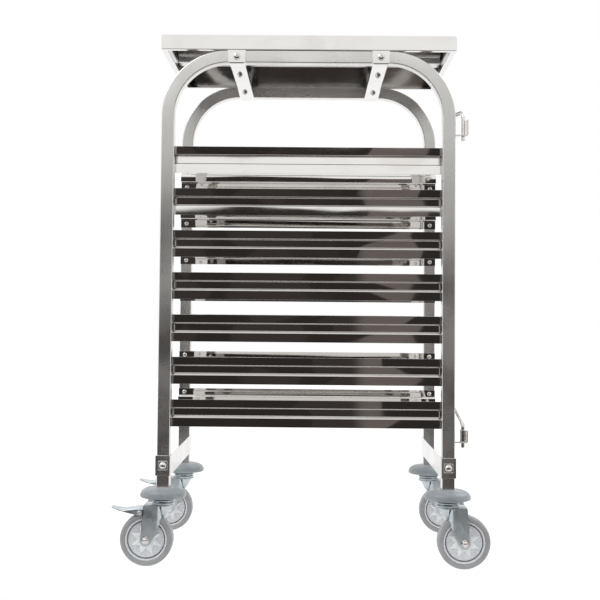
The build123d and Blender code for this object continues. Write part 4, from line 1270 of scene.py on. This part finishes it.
# ---- stage -------------------------------------------------------------------------------
class TROLLEY_OT_stage(bpy.types.Operator):
    """Builds the white studio, its soft lights and the camera"""
    bl_idname = "trolley.stage"
    bl_label = "Stage"

    def execute(self, context):
        s = context.scene.trolley_stage
        self.floor(s)
        self.surroundings(s)
        self.lamp("soft_key", (-2.2, -1.6, 3.2), 2.4, 34.0)
        self.lamp("soft_fill", (2.4, 0.9, 3.0), 2.4, 26.0)
        self.camera(context, s)
        context.scene.view_settings.view_transform = "Standard"
        context.scene.view_settings.look = "None"
        return {"FINISHED"}

    def floor(self, s):
        """A pale floor just under the wheels, nearly as bright as the studio."""
        data = bpy.data.meshes.new("floor")
        ring = [(-s.floor_span, -s.floor_front), (s.floor_span, -s.floor_front),
                (s.floor_span, s.floor_span), (-s.floor_span, s.floor_span)]
        data.from_pydata([(x, y, -0.0005) for x, y in ring], [], [(0, 1, 2, 3)])
        floor = bpy.data.objects.new("floor", data)
        bpy.context.scene.collection.objects.link(floor)
        f = Finish("pale_floor")
        shade = f.blend(f.spread(f.noise(f.place, 3.0), 0.0, 1.0), (0.16, 0.16, 0.16),
                        (0.15, 0.15, 0.152))
        roughness = f.spread(f.noise(f.place, 8.0), 0.8, 0.95)
        data.materials.append(f.done(shade, roughness, emission_strength=s.floor_glow,
                                     emission_color=(1, 1, 1), specular_ior_level=0.1))

    def surroundings(self, s):
        """A white studio whose side behind the camera is dark below a low height."""
        world = bpy.data.worlds.new("studio")
        bpy.context.scene.world = world
        world.use_nodes = True
        sky = Nodes(world.node_tree)
        place = sky.nodes.new("ShaderNodeTexCoord").outputs["Generated"]
        toward = sky.add("ShaderNodeSeparateXYZ", Vector=place).outputs
        wander = sky.noise(place, 7.0, (1.0, 0.2, 0.2), detail=2.0, rough=0.5)
        height = sky.joined("ADD", toward["Z"], sky.joined("MULTIPLY", wander, 0.05))
        edge = math.sin(s.dark_top) + 0.025
        low = sky.spread(height, 1.0, 0.0, edge - 0.002, edge + 0.002)
        front = sky.spread(toward["Y"], 1.0, 0.0, -0.66, -0.36)
        blocks = sky.cells(sky.mapped(place, (1.0, 0.2, 0.45), 0.35), 20.0)
        right = sky.spread(toward["X"], 0.12, 1.0, 0.035, 0.05)
        tone = sky.joined("MULTIPLY", sky.spread(blocks, 0.0, 1.0, 0.50, 0.54), right)
        dark = sky.blend(tone, s.dark, tuple(c * 5.0 for c in s.dark))
        white = (s.studio_white, s.studio_white, s.studio_white * 0.99)
        shade = sky.blend(sky.joined("MULTIPLY", low, front), white, dark)
        seen = sky.nodes.new("ShaderNodeLightPath").outputs["Is Camera Ray"]
        sky.feed(sky.nodes["Background"].inputs["Color"], sky.blend(seen, shade, (1, 1, 1)))

    def lamp(self, name, place, width, power):
        """A round soft light aimed at the middle of the trolley."""
        light = bpy.data.lights.new(name, "AREA")
        light.shape, light.size, light.energy = "DISK", width, power
        lamp = bpy.data.objects.new(name, light)
        bpy.context.scene.collection.objects.link(lamp)
        lamp.location = place
        aim = Vector((0, 0, 0.5)) - lamp.location
        lamp.rotation_euler = aim.to_track_quat("-Z", "Y").to_euler()

    def camera(self, context, s):
        """The camera, level with the lower runners and turned a little up."""
        data = bpy.data.cameras.new("camera")
        data.sensor_width, data.lens, data.shift_y = 36.0, s.lens, s.shift
        camera = bpy.data.objects.new("camera", data)
        context.scene.collection.objects.link(camera)
        camera.location = (s.camera_side, -s.camera_back, s.camera_height)
        turned = Quaternion(Z, s.camera_yaw) @ Quaternion(X, math.pi / 2 + s.camera_pitch)
        camera.rotation_mode = "QUATERNION"
        camera.rotation_quaternion = turned @ Quaternion(Z, s.camera_roll)
        context.scene.camera = camera


# ---- panel and registration --------------------------------------------------------------
PIECES = (TROLLEY_OT_side_frames, TROLLEY_OT_runners, TROLLEY_OT_runner_screws, TROLLEY_OT_shelf,
          TROLLEY_OT_stiffener, TROLLEY_OT_cross_bars, TROLLEY_OT_lower_braces,
          TROLLEY_OT_outer_bolts, TROLLEY_OT_shelf_studs, TROLLEY_OT_retaining_bar,
          TROLLEY_OT_bumpers, TROLLEY_OT_castor_stems, TROLLEY_OT_forks, TROLLEY_OT_axles,
          TROLLEY_OT_hubs, TROLLEY_OT_tyres, TROLLEY_OT_pedals, TROLLEY_OT_hidden_pieces,
          TROLLEY_OT_stage)
SETTINGS = {"trolley_frame": TrolleyFrameSettings, "trolley_fixing": TrolleyFixingSettings,
            "trolley_gate": TrolleyGateSettings, "trolley_castor": TrolleyCastorSettings,
            "trolley_finish": TrolleyFinishSettings, "trolley_stage": TrolleyStageSettings}


class TROLLEY_PT_panel(bpy.types.Panel):
    """Lists the trolley's pieces and settings"""
    bl_idname = "TROLLEY_PT_panel"
    bl_label = "Racking Trolley"
    bl_space_type = "VIEW_3D"
    bl_region_type = "UI"
    bl_category = "Trolley"

    def draw(self, context):
        for piece in PIECES:
            self.layout.operator(piece.bl_idname)
        for name, group in SETTINGS.items():
            box = self.layout.box()
            for key in group.__annotations__:
                box.prop(getattr(context.scene, name), key)


def register():
    for group in (*SETTINGS.values(), *PIECES, TROLLEY_PT_panel):
        bpy.utils.register_class(group)
    for name, group in SETTINGS.items():
        setattr(bpy.types.Scene, name, PointerProperty(type=group))


def unregister():
    for name in SETTINGS:
        delattr(bpy.types.Scene, name)
    for group in (TROLLEY_PT_panel, *PIECES[::-1], *SETTINGS.values()):
        bpy.utils.unregister_class(group)


def main():
    register()
    trolley = bpy.ops.trolley
    trolley.side_frames()
    trolley.runners()
    trolley.runner_screws()
    trolley.shelf()
    trolley.stiffener()
    trolley.cross_bars()
    trolley.lower_braces()
    trolley.outer_bolts()
    trolley.shelf_studs()
    trolley.retaining_bar()
    trolley.bumpers()
    trolley.castor_stems()
    trolley.forks()
    trolley.axles()
    trolley.hubs()
    trolley.tyres()
    trolley.pedals()
    trolley.hidden_pieces()
    trolley.stage()


if __name__ == "__main__":
    main()
